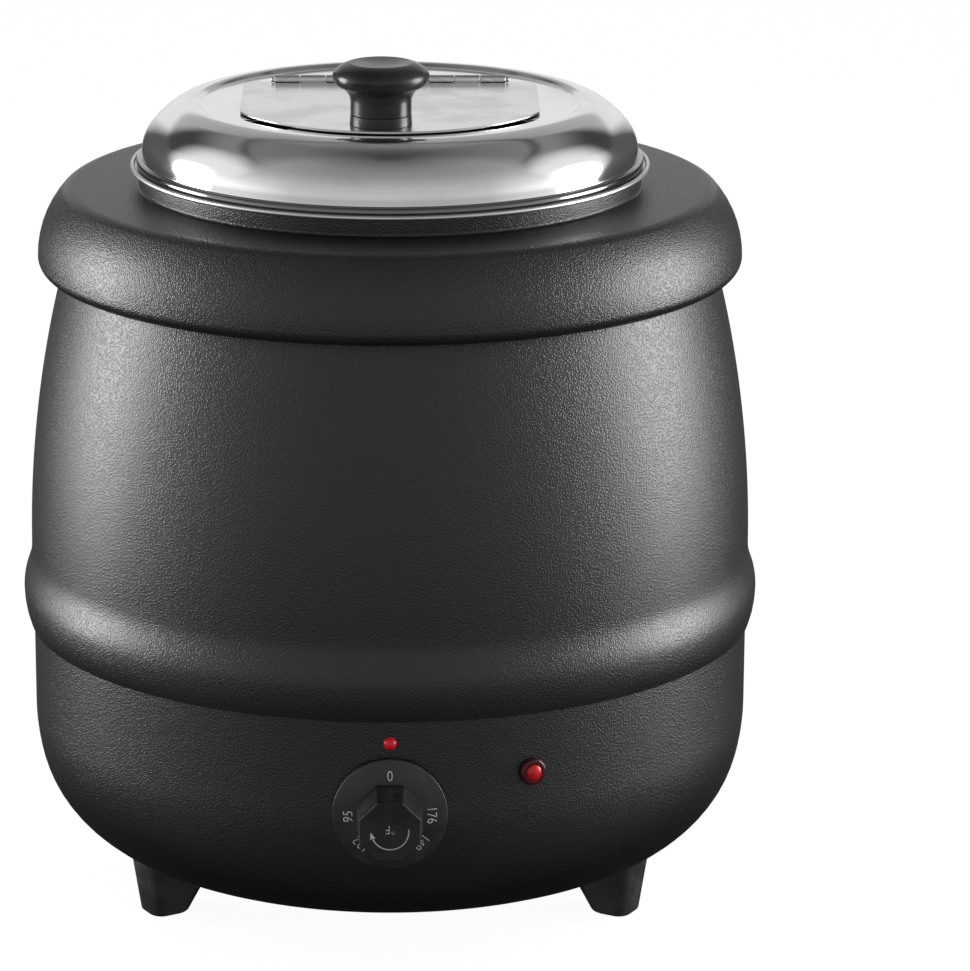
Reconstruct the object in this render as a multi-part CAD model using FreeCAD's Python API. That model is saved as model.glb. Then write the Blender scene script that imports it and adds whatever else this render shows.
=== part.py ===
import FreeCAD, Part
import math
import os

# A countertop soup kettle that stands on three feet: a black sheet-steel casing of bowl, barrel and
# top ring around a heated water tank, a lift-out soup pot, and a lid with a hinged flap.
# Millimetres, +Z up, the front with the dial towards -Y, origin on the table under the kettle's axis.

V = FreeCAD.Vector
UP = V(0, 0, 1)
RIGHT = V(1, 0, 0)
REAR = V(0, 1, 0)
AXIS = V(0, 0, 0)

# Walls and clearances
casing_wall = 0.9           # pressed steel of the bowl, barrel and top ring
tank_wall = 0.8
pot_wall = 0.8
lid_wall = 0.7
seat_gap = 0.2              # under a piece that lifts off its seat
turn_gap = 0.3              # beside a piece that turns
joint_gap = 0.1             # between fixed pieces whose curved faces meet
thread_gap = 0.05           # round a screw or stud in its hole
running_gap = 0.05          # round a shaft or hinge pin that turns

# Water tank and its gasket
tank_radius = 112.6
tank_bottom_z = 52.0
tank_corner_bend = 14.0
tank_flange_bend = 3.0
gasket_thickness = 1.2
gasket_room = 4.4           # from the tank's wall out to the gasket and the barrel's flange
gasket_bore_radius = tank_radius + gasket_room

# Top ring with its collar
ring_skirt_bend = 6.0
ring_side_bend = 43.8
ring_side_turn = 42.0
ring_top_bend = 8.0
collar_stand = 1.7          # from the tank's wall out to the face of the collar
collar_radius = tank_radius + collar_stand
collar_height = 7.9
collar_foot_bend = 1.5
ring_stud_reach = 13.4      # from the tank's wall out to the studs
ring_stud_circle = tank_radius + ring_stud_reach
ring_stud_radius = 2.5
ring_stud_count = 4
ring_stud_start = 45.0      # degrees from +X
ring_stud_tail = 10.0       # thread that shows under the barrel's flange
ring_shoulder = 35.0        # from the studs out to the ring's widest place
ring_radius = ring_stud_circle + ring_shoulder
flange_margin = 8.0         # from the studs out to the edge of the tank's flange
tank_flange_radius = ring_stud_circle + flange_margin

# Barrel casing with its belt
barrel_stand = 5.5          # of the waist beyond the ring
barrel_radius = ring_radius + barrel_stand
belt_stand = 3.9            # of the belt beyond the waist
belt_radius = barrel_radius + belt_stand
belt_z = 143.0
belt_rise = 16.7            # from the lower lip up to the crest of the belt
lap_gap = 0.25              # between the lip and the bowl that it laps over
waist_z = 163.0
barrel_taper = 27.3356      # how much the barrel narrows from its waist to its top
barrel_flange_bend = 3.0
barrel_flange_radius = gasket_bore_radius

# Base bowl
bowl_step = 0.5             # from the barrel's waist in to the bowl
bowl_radius = barrel_radius - bowl_step
bowl_floor_z = 15.5
bowl_slope_run = 61.0       # from the bowl's side in to where its flat floor meets the cone
bowl_floor_radius = bowl_radius - bowl_slope_run
bowl_floor_bend = 8.0
bowl_cone_angle = 21.2
bowl_heel_bend = 56.0
bowl_flank_bend = 98.0
bowl_flank_turn = 14.0
floor_land = 21.0           # flat floor round the hole
floor_hole_radius = bowl_floor_radius - floor_land
drill_depth = 15.0          # of the cuts through the bowl's wall

# Bottom plate
plate_lap = 8.0             # beyond the hole in the bowl's floor
plate_radius = floor_hole_radius + plate_lap
plate_thickness = 1.2
vent_count = 12
vent_set_in = 44.0          # from the floor's hole in to the start of a vent
vent_inner = floor_hole_radius - vent_set_in
vent_length = 28.0
vent_outer = vent_inner + vent_length
vent_half_width = 2.5

# Tie rods under the tank that pull the casing together through the bottom plate
tie_rod_set_in = 4.0        # from the floor's hole in to the rods
tie_rod_circle = floor_hole_radius - tie_rod_set_in
tie_rod_radius = 2.5
tie_rod_tail = 2.0          # thread that shows under the nut
nut_flats = 8.0
nut_height = 4.0

# Heater stack under the tank
spreader_set_in = 8.0       # from the tie rods in to the spreader
spreader_radius = tie_rod_circle - spreader_set_in
spreader_thickness = 3.0
element_set_in = 10.0       # from the spreader's edge in to the tube
element_circle = spreader_radius - element_set_in
element_radius = 4.0
element_gap_angle = 20.0    # half of the gap between the two legs
element_leg_bend = 8.0
element_leg_z = 26.0
clamp_set_in = 2.0
clamp_radius = spreader_radius - clamp_set_in
clamp_thickness = 2.0
clamp_leg_clearance = 2.0
heater_stud_radius = 3.0
heater_stud_tail = 8.0
heater_nut_flats = 10.0
heater_nut_height = 5.0
cutout_y = 30.0
cutout_radius = 8.0
cutout_can_height = 9.0
cutout_cap_radius = 6.0
cutout_cap_height = 4.0
cutout_clearance = 1.5

# Feet
foot_set_out = 15.5         # from the start of the bowl's cone out to the feet
foot_circle = bowl_floor_radius + foot_set_out
foot_half = 9.5
foot_corner = 6.5
foot_edge = 1.2
foot_top_z = 40.0
foot_inner_flare = 30.3     # degrees from upright, towards the kettle's axis
foot_outer_flare = 6.7
foot_side_flare = 6.7
foot_screw_radius = 2.0
foot_screw_head = 4.2
foot_screw_head_height = 2.4
foot_screw_grip = 14.0

# Soup pot
pot_room = 4.6              # water round the pot, with the tank's wall
pot_radius = tank_radius - pot_room
pot_depth = 278.0
pot_floor_room = 9.5549     # from the tank's floor up to the pot
pot_corner_bend = 25.0
pot_lip_bend = 2.0
pot_overhang = 4.0          # of the pot's rolled edge beyond the collar
pot_flange_radius = collar_radius + pot_overhang
pot_bead_radius = 1.0

# Lid
lid_bead_radius = 1.9
lid_set_in = 2.8            # from the pot's rolled edge in to the lid's bead
lid_bead_reach = pot_flange_radius - lid_set_in
lid_side_set_in = 2.6       # from the bead's outside in to the lid's side
lid_side_radius = lid_bead_reach - lid_side_set_in
lid_side_rise = 4.6         # from the middle of the bead to the start of the dome
lid_side_bend = 17.0
lid_side_turn = 38.0
lid_shoulder_bend = 42.0
lid_shoulder_turn = 19.0
lid_top_bend = 18.5
lid_crest_bend = 3.0
lid_crest_turn = 40.0
lid_recess_depth = 2.0
notch_start = 37.0
notch_end = 59.0

# Flap and its hinge
flap_set_in = 40.4          # from the lid's side in to the flap's round front
flap_radius = lid_side_radius - flap_set_in
flap_side_cut = 5.0         # how much the flap's straight sides take off the round
flap_half_width = flap_radius - flap_side_cut
flap_lap = 5.5              # of the flap's front over the opening's edge
opening_radius = flap_radius - flap_lap
flap_side_lap = 7.5
opening_half_width = flap_half_width - flap_side_lap
notch_show = 3.5            # of the notches beyond the flap
notch_radius = flap_radius + notch_show
flap_front_corner = 15.0
flap_rear_corner = 5.0
flap_thickness = 1.0
flap_lift = 0.5
hinge_set_in = 30.5         # from the round of the flap in to the hinge
hinge_y = flap_radius - hinge_set_in
opening_rear_gap = 6.0      # from the opening's rear edge to the hinge
opening_rear = hinge_y - opening_rear_gap
hinge_radius = 2.2
hinge_end_gap = 6.5         # from the opening's side in to the hinge's end
hinge_length = 2 * (opening_half_width - hinge_end_gap)
knuckle_count = 9
hinge_pin_radius = 1.2
hinge_pin_nub = 1.6
leaf_depth = 13.0
leaf_thickness = 0.9

# Knob on the flap
knob_x = -4.0               # a little left of the middle
knob_set_in = 18.5          # from the flap's front in to the knob
knob_y = knob_set_in - flap_radius
knob_foot_radius = 13.9
knob_collar_height = 4.5
knob_neck_radius = 13.6
knob_neck_top = 10.0
knob_head_radius = 21.45
knob_head_z = 21.6
knob_flare_share = 0.6      # how much of the flare under the head is hollow
knob_shoulder_bend = 3.2
knob_shoulder_turn = 62.0
knob_rim_radius = 13.8
knob_rim_bend = 1.5
knob_dish_angle = 9.0
knob_screw_radius = 2.5
knob_screw_depth = 12.0
knob_screw_head_radius = 4.6
knob_screw_head_height = 2.2

# Temperature dial and thermostat
dial_z = 86.0
dial_gap = 1.0              # between the bowl and the back of the skirt
dial_skirt_radius = 25.2
dial_skirt_edge = 1.6
dial_skirt_rise = 2.6
dial_grip_root = 29.2       # across the flats at the skirt
dial_grip_face = 26.3       # across the flats at the face
dial_depth = 24.0
dial_hollow_radius = 21.0
dial_hollow_depth = 2.6
dial_hub_radius = 6.5
dial_bore_depth = 17.0
shaft_radius = 3.0
shaft_grip = 13.0           # length of the shaft inside the thermostat
shaft_hole_radius = 4.5
thermostat_half_width = 16.0
thermostat_height = 24.0
thermostat_drop = 10.0      # from the shaft down to the underside
thermostat_depth = 27.0
thermostat_screw_offset = 13.0
thermostat_screw_radius = 2.0
thermostat_screw_head = 3.5
thermostat_screw_head_height = 2.0
thermostat_screw_grip = 8.0
capillary_radius = 1.0
capillary_bend = 12.0
capillary_rise = 8.0        # above the shaft
bulb_radius = 3.0
bulb_z = 112.0
bulb_length = 60.0
clip_wall = 1.0
clip_height = 12.0
clip_half_width = 9.0

# Indicator lamps
pilot_z = 118.0
pilot_dome_radius = 3.05
pilot_barrel_radius = 2.7
pilot_barrel_length = 11.0
power_z = 101.0
power_azimuth = 22.0
power_bezel_radius = 6.0
power_bezel_height = 2.6
power_bezel_round = 1.0
power_barrel_radius = 4.6
power_barrel_length = 22.0
power_lens_radius = 3.5
power_lens_stand = 0.6
power_lens_dome = 0.8
lamp_clip_width = 2.6
lamp_clip_thickness = 2.0

# Terminal block and wiring
block_half_width = 18.0
block_edge = 0.6            # from the hole in the bowl's floor
block_inner_y = floor_hole_radius + block_edge
block_depth = 15.4
block_outer_y = block_inner_y + block_depth
block_height = 17.0
block_screw_offset = 12.0
block_screw_radius = 1.5
block_screw_head = 2.9
block_screw_head_height = 1.8
lead_radius = 1.5
lead_bend = 10.0
lamp_lead_radius = 1.2
lamp_lead_bend = 8.0
lamp_lead_room = 9.4        # from the tank's wall out to the wire round it
lamp_lead_circle = tank_radius + lamp_lead_room

# Cord gland at the rear
gland_bore = 4.2
gland_barrel_radius = 8.0
gland_inner_bore = 5.5
gland_flats = 22.0
gland_flange = 5.0
gland_thread = 7.0          # thread that the cap screws on
gland_tail = 11.0           # thread inside the bowl
gland_seal_length = 7.0
gland_cap_radius = 10.5
gland_cap_round = 2.5
locknut_height = 4.0


def trace(start, heading, moves, inset=0.0):
    """Edges and end of an outline in the XZ plane; a move is a length and 0, or a radius and a turn.

    The outline can be drawn again one inset to its left, as the other face of a sheet.
    """
    angle = math.radians(heading)
    r = start[0] - inset * math.sin(angle)
    z = start[1] + inset * math.cos(angle)
    edges = []
    for size, turn in moves:
        if turn == 0:
            end = (r + size * math.cos(angle), z + size * math.sin(angle))
            edges.append(Part.LineSegment(V(r, 0, z), V(end[0], 0, end[1])).toShape())
        else:
            side = math.copysign(1.0, turn)
            swing = side * (size - side * inset)
            centre = (r - swing * math.sin(angle), z + swing * math.cos(angle))
            half = angle + math.radians(turn) / 2
            angle += math.radians(turn)
            middle = (centre[0] + swing * math.sin(half), centre[1] - swing * math.cos(half))
            end = (centre[0] + swing * math.sin(angle), centre[1] - swing * math.cos(angle))
            edges.append(Part.Arc(V(r, 0, z), V(middle[0], 0, middle[1]), V(end[0], 0, end[1])).toShape())
        r, z = end
    return edges, (r, z)


def end_of(start, heading, moves):
    """Where an outline ends."""
    return trace(start, heading, moves)[1]


def spin(edges):
    """Solid of revolution round the kettle's axis from the edges of a closed section."""
    wire = Part.Wire(Part.__sortEdges__(edges))
    return Part.Face(wire).revolve(AXIS, UP, 360)


def line(a, b):
    """Edge between two radius and height points of the XZ plane."""
    return Part.LineSegment(V(a[0], 0, a[1]), V(b[0], 0, b[1])).toShape()


def polygon_edges(points):
    """Closed run of straight edges through radius and height points."""
    return [line(a, b) for a, b in zip(points, points[1:] + points[:1])]


def sheet(start, heading, moves, wall):
    """Shell of even thickness that follows an outline, its wall to the left."""
    outer, outer_end = trace(start, heading, moves)
    inner, inner_end = trace(start, heading, moves, wall)
    inner_start = (inner[0].Vertexes[0].X, inner[0].Vertexes[0].Z)
    return spin(outer + inner + [line(start, inner_start), line(outer_end, inner_end)])


def disc(radius, z, height, bore=0.0):
    """Flat round plate, with an optional hole in the middle."""
    plate = Part.makeCylinder(radius, height, V(0, 0, z), UP)
    if bore > 0:
        plate = plate.cut(Part.makeCylinder(bore, height, V(0, 0, z), UP))
    return plate


def post(x, y, z, radius, height):
    """Upright cylinder."""
    return Part.makeCylinder(radius, height, V(x, y, z), UP)


def bar(x, y, z, radius, length, along=REAR):
    """Cylinder that lies along a direction."""
    return Part.makeCylinder(radius, length, V(x, y, z), along)


def box(x0, x1, y0, y1, z0, z1):
    """Block between two corners."""
    return Part.makeBox(x1 - x0, y1 - y0, z1 - z0, V(x0, y0, z0))


def hexagon(flats, height, along=UP, at=AXIS):
    """Hexagonal prism with its base at a point."""
    corner = flats / 2 / math.cos(math.radians(30))
    points = [V(corner * math.cos(math.radians(a)), corner * math.sin(math.radians(a)), 0)
              for a in range(0, 361, 60)]
    prism = Part.Face(Part.makePolygon(points)).extrude(V(0, 0, height))
    prism.Placement = FreeCAD.Placement(at, FreeCAD.Rotation(UP, along))
    return prism


def on_circle(radius, angles):
    """Points of a bolt circle as x, y pairs, with angles in degrees from +X."""
    return [(radius * math.cos(math.radians(a)), radius * math.sin(math.radians(a))) for a in angles]


def join(shapes):
    """One solid out of pieces that overlap."""
    body = shapes[0].fuse(shapes[1:])
    return body.removeSplitter()


def cut_all(shape, tools):
    """Shape with every tool taken away."""
    return shape.cut(Part.makeCompound(tools)) if tools else shape


def tube(path, radius):
    """Round wire or tube that follows a path of straight and arc edges."""
    wire = Part.Wire(path)
    first = path[0]
    start = first.valueAt(first.FirstParameter)
    heading = first.tangentAt(first.FirstParameter)
    ring = Part.Wire(Part.makeCircle(radius, start, heading))
    return wire.makePipeShell([ring], True, False)


def run(a, b):
    """Straight edge between two points in space."""
    return Part.LineSegment(a, b).toShape()


def bend(start, direction, new_direction, radius):
    """Quarter bend from one direction to another at right angles, and where it ends."""
    centre = start + new_direction * radius
    middle = centre + (direction - new_direction) * (radius * math.sqrt(0.5))
    end = centre + direction * radius
    return Part.Arc(start, middle, end).toShape(), end


def export(name, *solids):
    """Write one piece, or a group of like pieces, to its own file."""
    shape = solids[0] if len(solids) == 1 else Part.makeCompound(list(solids))
    shape.exportStep("parts/" + name + ".step")


# Base bowl outline, from the hole in its floor out and up
cone = math.radians(bowl_cone_angle)
floor_bend_start = bowl_floor_radius - bowl_floor_bend * math.tan(cone / 2)
bowl_start = (floor_hole_radius, bowl_floor_z)
bowl_floor_moves = [(floor_bend_start - floor_hole_radius, 0), (bowl_floor_bend, bowl_cone_angle)]
bowl_bends = [(bowl_heel_bend, 90 - bowl_cone_angle - bowl_flank_turn), (bowl_flank_bend, bowl_flank_turn)]
bowl_no_cone = end_of(bowl_start, 0, bowl_floor_moves + bowl_bends)
cone_length = (bowl_radius - bowl_no_cone[0]) / math.cos(cone)
bowl_moves = bowl_floor_moves + [(cone_length, 0)] + bowl_bends
bowl_wall_z = end_of(bowl_start, 0, bowl_moves)[1]

# Barrel outline, from the lip over the belt and the waist to the flange under the top ring
lip_radius = bowl_radius + lap_gap + casing_wall
lip_z = belt_z - belt_rise
lip_drop = belt_radius - lip_radius
lip_bend = (belt_rise ** 2 + lip_drop ** 2) / (2 * lip_drop)
lip_turn = math.degrees(math.asin(belt_rise / lip_bend))
waist_drop = belt_radius - barrel_radius
waist_rise = waist_z - belt_z
waist_bend = (waist_rise ** 2 + waist_drop ** 2) / (4 * waist_drop)
waist_turn = math.degrees(math.asin(waist_rise / 2 / waist_bend))

# Heights from the tank's floor up: the pot, the collar that it hangs on, and the ring
pot_bottom_z = tank_bottom_z + tank_wall + pot_floor_room
pot_flange_top_z = pot_bottom_z + pot_depth
pot_flange_z = pot_flange_top_z - pot_wall
collar_top_z = pot_flange_z - seat_gap
ring_top_z = collar_top_z - collar_height
side_rise = math.sin(math.radians(ring_side_turn))
ring_skirt_z = ring_top_z - ring_skirt_bend - ring_side_bend * side_rise - ring_top_bend * (1 - side_rise)

# Heights of the stack that the ring's studs clamp: barrel flange, tank flange, gasket, ring
ring_under_z = ring_top_z - casing_wall
tank_flange_top_z = ring_under_z - gasket_thickness
barrel_top_z = tank_flange_top_z - tank_wall
barrel_flange_under_z = barrel_top_z - casing_wall

barrel_height = barrel_top_z - waist_z
barrel_bend = (barrel_height ** 2 + barrel_taper ** 2) / (2 * barrel_taper)
barrel_rise = (barrel_top_z - waist_z - barrel_flange_bend) / (1 - barrel_flange_bend / barrel_bend)
barrel_turn = math.degrees(math.asin(barrel_rise / barrel_bend))
barrel_start = (lip_radius, lip_z)
barrel_rising = [(lip_bend, lip_turn), (waist_bend, waist_turn), (waist_bend, -waist_turn),
                 (barrel_bend, barrel_turn), (barrel_flange_bend, 90 - barrel_turn)]
barrel_corner = end_of(barrel_start, 90 - lip_turn, barrel_rising)
barrel_moves = barrel_rising + [(barrel_corner[0] - barrel_flange_radius, 0)]

# The bowl's rim stands up inside the belt until the barrel's waist narrows on to it
rim_reach = belt_radius - casing_wall - bowl_radius - lap_gap
rim_room = math.sqrt(max(2 * waist_bend * rim_reach - rim_reach ** 2, 0.0))
bowl_rim_z = belt_z + min(rim_room, waist_rise / 2)


def bowl_radius_at(z):
    """Outer radius of the bowl at a height on its flank or its upright wall."""
    below = max(bowl_wall_z - z, 0.0)
    return bowl_radius - bowl_flank_bend + math.sqrt(bowl_flank_bend ** 2 - below ** 2)


def bowl_wall_y(z, half_width):
    """Distance from the kettle's axis to the bowl's inner face, at a height and beside the middle."""
    return math.sqrt((bowl_radius_at(z) - casing_wall) ** 2 - half_width ** 2)


def cone_z(r):
    """Height of the bowl's outer face where it slopes as a cone."""
    return bowl_floor_z + (r - bowl_floor_radius) * math.tan(cone)


def barrel_radius_at(z):
    """Outer radius of the barrel above its waist."""
    return barrel_radius - barrel_bend + math.sqrt(barrel_bend ** 2 - (z - waist_z) ** 2)


# Where the pieces that meet the bowl stand
foot_angles = {"foot_front_left": 210, "foot_front_right": 330, "foot_rear": 90}
tie_rod_points = on_circle(tie_rod_circle, [angle + 180 for angle in foot_angles.values()])
ring_stud_step = 360 / ring_stud_count
ring_stud_angles = [ring_stud_start + i * ring_stud_step for i in range(ring_stud_count)]
ring_stud_points = on_circle(ring_stud_circle, ring_stud_angles)
block_screw_points = [(side * block_screw_offset, (block_inner_y + block_outer_y) / 2) for side in (-1, 1)]
bowl_inside_z = bowl_floor_z + casing_wall
plate_under_z = bowl_floor_z - plate_thickness
front_wall = bowl_radius_at(dial_z)
cone_in = V(-math.sin(cone), 0, math.cos(cone))
foot_seat = V(foot_circle, 0, cone_z(foot_circle))


def turned(shape, angle):
    """Copy of a shape turned round the kettle's axis."""
    copy = shape.copy()
    copy.rotate(AXIS, UP, angle)
    return copy


def foot_screw_hole(radius):
    """Cylinder along a foot screw, from inside the bowl to the screw's tip, for the foot on +X."""
    length = foot_screw_grip + casing_wall + joint_gap
    return Part.makeCylinder(radius, length, foot_seat - cone_in * foot_screw_grip, cone_in)


def make_base_bowl():
    """Bowl with the holes for feet, terminal block, dial, lamps and gland."""
    moves = bowl_moves + [(bowl_rim_z - bowl_wall_z, 0)]
    bowl = sheet(bowl_start, 0, moves, casing_wall)
    holes = [turned(foot_screw_hole(foot_screw_radius + 2 * thread_gap), a) for a in foot_angles.values()]
    block_hole = block_screw_radius + thread_gap
    holes += [post(x, y, bowl_floor_z, block_hole, casing_wall) for x, y in block_screw_points]
    front = -bowl_radius - casing_wall
    holes.append(bar(0, front, dial_z, shaft_hole_radius, drill_depth))
    thermostat_hole = thermostat_screw_radius + thread_gap
    for side in (-1, 1):
        holes.append(bar(side * thermostat_screw_offset, front, dial_z, thermostat_hole, drill_depth))
    holes.append(bar(0, front, pilot_z, pilot_barrel_radius + joint_gap, drill_depth))
    power_hole = bar(0, front, power_z, power_barrel_radius + joint_gap, drill_depth)
    holes.append(turned(power_hole, power_azimuth))
    holes.append(bar(0, -front - drill_depth, dial_z, gland_barrel_radius + joint_gap, drill_depth))
    return cut_all(bowl, holes)


def stud_holes(z, height):
    """Holes for the ring's studs through a flange or a gasket."""
    radius = ring_stud_radius + 2 * thread_gap
    return [post(x, y, z, radius, height) for x, y in ring_stud_points]


def make_barrel_casing():
    """Barrel with its belt, and a flange with holes for the ring's studs."""
    barrel = sheet(barrel_start, 90 - lip_turn, barrel_moves, casing_wall)
    return cut_all(barrel, stud_holes(barrel_flange_under_z, casing_wall))


def make_top_ring():
    """Ring with a turned-in skirt, a flat top and an upright collar."""
    start = (barrel_radius_at(ring_skirt_z) + turn_gap, ring_skirt_z)
    moves = [(ring_radius - ring_skirt_bend - start[0], 0), (ring_skirt_bend, 90),
             (ring_side_bend, ring_side_turn), (ring_top_bend, 90 - ring_side_turn)]
    flat = end_of(start, 0, moves)[0] - collar_radius - collar_foot_bend
    moves += [(flat, 0), (collar_foot_bend, -90), (collar_height - collar_foot_bend, 0)]
    return sheet(start, 0, moves, casing_wall)


def make_water_tank():
    """Tank that holds the hot water, hung by its flange."""
    moves = [(tank_radius - tank_corner_bend, 0), (tank_corner_bend, 90),
             (barrel_top_z - tank_flange_bend - tank_bottom_z - tank_corner_bend, 0), (tank_flange_bend, -90),
             (tank_flange_radius - tank_radius - tank_flange_bend, 0)]
    tank = sheet((0, tank_bottom_z), 0, moves, tank_wall)
    return cut_all(tank, stud_holes(barrel_top_z, tank_wall))


def make_tank_gasket():
    """Flat gasket between the tank's flange and the ring."""
    ring = disc(tank_flange_radius, tank_flange_top_z, gasket_thickness, gasket_bore_radius)
    return cut_all(ring, stud_holes(tank_flange_top_z, gasket_thickness))


def hex_nut(x, y, z, flats, height, stud):
    """Nut with a plain hole."""
    nut = hexagon(flats, height, UP, V(x, y, z))
    return nut.cut(post(x, y, z, stud + thread_gap, height))


def pan_screw(x, y, head_z, shank_end, radius, head, head_height):
    """Upright pan-head screw whose head stands away from its shank's end."""
    if shank_end < head_z:
        return join([post(x, y, shank_end, radius, head_z - shank_end),
                     post(x, y, head_z, head, head_height)])
    return join([post(x, y, head_z - head_height, head, head_height),
                 post(x, y, head_z, radius, shank_end - head_z)])


def make_bottom_plate():
    """Vented plate that closes the hole in the bowl's floor."""
    plate = disc(plate_radius, plate_under_z, plate_thickness)
    rod_hole = tie_rod_radius + 2 * thread_gap
    holes = [post(x, y, plate_under_z, rod_hole, plate_thickness) for x, y in tie_rod_points]
    slot = join([box(vent_inner, vent_outer, -vent_half_width, vent_half_width, plate_under_z, bowl_floor_z),
                 post(vent_inner, 0, plate_under_z, vent_half_width, plate_thickness),
                 post(vent_outer, 0, plate_under_z, vent_half_width, plate_thickness)])
    holes += [turned(slot, i * 360 / vent_count) for i in range(vent_count)]
    return cut_all(plate, holes)


def rounded_block(inner, outer, side, corner, z):
    """Wire of a rectangle with round corners, on the foot at +X."""
    u0 = foot_circle - inner
    u1 = foot_circle + outer
    corners = [(u1 - corner, side - corner, 0), (u0 + corner, side - corner, 90),
               (u0 + corner, corner - side, 180), (u1 - corner, corner - side, 270)]
    arcs = []
    for u, v, start in corners:
        angles = [math.radians(start + a) for a in (0, 45, 90)]
        points = [V(u + corner * math.cos(a), v + corner * math.sin(a), z) for a in angles]
        arcs.append(Part.Arc(*points).toShape())
    edges = []
    for arc, following in zip(arcs, arcs[1:] + arcs[:1]):
        edges += [arc, run(arc.Vertexes[1].Point, following.Vertexes[0].Point)]
    return Part.Wire(edges)


def make_foot(angle):
    """Tapered foot whose top is cut to the bowl's cone, bored for its screw."""
    def spread(flare):
        return foot_half + foot_top_z * math.tan(math.radians(flare))
    edge = foot_half - foot_edge
    sections = [rounded_block(edge, edge, edge, foot_corner - foot_edge, 0),
                rounded_block(foot_half, foot_half, foot_half, foot_corner, foot_edge),
                rounded_block(spread(foot_inner_flare), spread(foot_outer_flare), spread(foot_side_flare),
                              foot_corner, foot_top_z)]
    foot = Part.makeLoft(sections, True, True)
    low = (0, bowl_floor_z - joint_gap)
    outer, rim = trace(low, 0, [(floor_hole_radius, 0)] + bowl_moves)
    top = (0, rim[1])
    bowl = spin(outer + [line(rim, top), line(top, low)])
    foot = foot.cut(bowl).cut(foot_screw_hole(foot_screw_radius + thread_gap))
    return turned(foot, angle)


def make_foot_screw(angle):
    """Screw square to the bowl's cone, its head inside the bowl."""
    head_seat = foot_seat + cone_in * (casing_wall + joint_gap)
    head = Part.makeCylinder(foot_screw_head, foot_screw_head_height, head_seat, cone_in)
    return turned(join([foot_screw_hole(foot_screw_radius), head]), angle)


# Heater stack, from the tank's underside down
spreader_z = tank_bottom_z - spreader_thickness
element_z = spreader_z - element_radius - thread_gap
clamp_top_z = element_z - element_radius - thread_gap
clamp_z = clamp_top_z - clamp_thickness
heater_nut_z = clamp_z - heater_nut_height
leg_angle = math.radians(270 + element_gap_angle)
element_end = V(element_circle * math.cos(leg_angle), element_circle * math.sin(leg_angle), element_z)
element_tangent = V(-math.sin(leg_angle), math.cos(leg_angle), 0)
leg_foot = element_end - element_tangent * element_leg_bend


def make_heating_element():
    """Ring of sheathed heating tube with both ends turned down as legs."""
    def mirrored(p):
        return V(-p.x, p.y, p.z)
    leg_top = V(leg_foot.x, leg_foot.y, element_z - element_leg_bend)
    leg_low = V(leg_foot.x, leg_foot.y, element_leg_z)
    centre = V(element_end.x, element_end.y, leg_top.z)
    middle = centre + (UP - element_tangent) * (element_leg_bend * math.sqrt(0.5))
    rear = V(0, element_circle, element_z)
    path = [run(leg_low, leg_top), Part.Arc(leg_top, middle, element_end).toShape(),
            Part.Arc(element_end, rear, mirrored(element_end)).toShape(),
            Part.Arc(mirrored(element_end), mirrored(middle), mirrored(leg_top)).toShape(),
            run(mirrored(leg_top), mirrored(leg_low))]
    return tube(path, element_radius)


def make_heat_spreader():
    """Aluminium plate between the element and the tank."""
    return disc(spreader_radius, spreader_z, spreader_thickness, heater_stud_radius + 2 * thread_gap)


def make_heater_clamp_plate():
    """Plate that presses the element up, open for its legs and for the cut-out."""
    plate = disc(clamp_radius, clamp_z, clamp_thickness, heater_stud_radius + 2 * thread_gap)
    leg_hole = element_radius + clamp_leg_clearance
    holes = [post(side * leg_foot.x, leg_foot.y, clamp_z, leg_hole, clamp_thickness) for side in (-1, 1)]
    holes.append(post(0, cutout_y, clamp_z, cutout_radius + cutout_clearance, clamp_thickness))
    return cut_all(plate, holes)


def make_thermal_cutout():
    """Round safety cut-out against the spreader."""
    can = post(0, cutout_y, spreader_z - cutout_can_height, cutout_radius, cutout_can_height)
    cap = post(0, cutout_y, spreader_z - cutout_can_height - cutout_cap_height, cutout_cap_radius,
               cutout_cap_height)
    return join([can, cap])


# Thermostat behind the front wall, seated on the wall's curve at its lowest corners
thermostat_z = dial_z - thermostat_drop
thermostat_front = -(bowl_wall_y(thermostat_z, thermostat_half_width) - joint_gap)
thermostat_back = thermostat_front + thermostat_depth
dial_back = -(front_wall + dial_gap)
dial_face = dial_back - dial_depth
shaft_inner = thermostat_front + shaft_grip
shaft_outer = dial_back - dial_bore_depth + thread_gap


def make_thermostat_body():
    """Capillary thermostat with the bush that its shaft turns in."""
    body = box(-thermostat_half_width, thermostat_half_width, thermostat_front, thermostat_back,
               thermostat_z, thermostat_z + thermostat_height)
    holes = [bar(0, thermostat_front, dial_z, shaft_radius + running_gap, shaft_grip + joint_gap)]
    for side in (-1, 1):
        x = side * thermostat_screw_offset
        holes.append(bar(x, thermostat_front, dial_z, thermostat_screw_radius + thread_gap,
                         thermostat_screw_grip + joint_gap))
    return cut_all(body, holes)


def make_thermostat_screw(side):
    """Screw through the bowl into the thermostat, its head under the dial."""
    x = side * thermostat_screw_offset
    inside = abs(x) - thermostat_screw_head
    seat = -math.sqrt(front_wall ** 2 - inside ** 2) - joint_gap
    shank = bar(x, seat, dial_z, thermostat_screw_radius, thermostat_front + thermostat_screw_grip - seat)
    head_y = seat - thermostat_screw_head_height
    head = bar(x, head_y, dial_z, thermostat_screw_head, thermostat_screw_head_height)
    return join([shank, head])


def make_thermostat_shaft():
    """Shaft that the dial turns."""
    return bar(0, shaft_outer, dial_z, shaft_radius, shaft_inner - shaft_outer)


def octagon(flats, y):
    """Wire of an octagon round the dial's axis, with a flat on top."""
    corner = flats / 2 / math.cos(math.radians(22.5))
    angles = [math.radians(22.5 + 45 * i) for i in range(9)]
    return Part.makePolygon([V(corner * math.sin(a), y, dial_z + corner * math.cos(a)) for a in angles])


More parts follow.
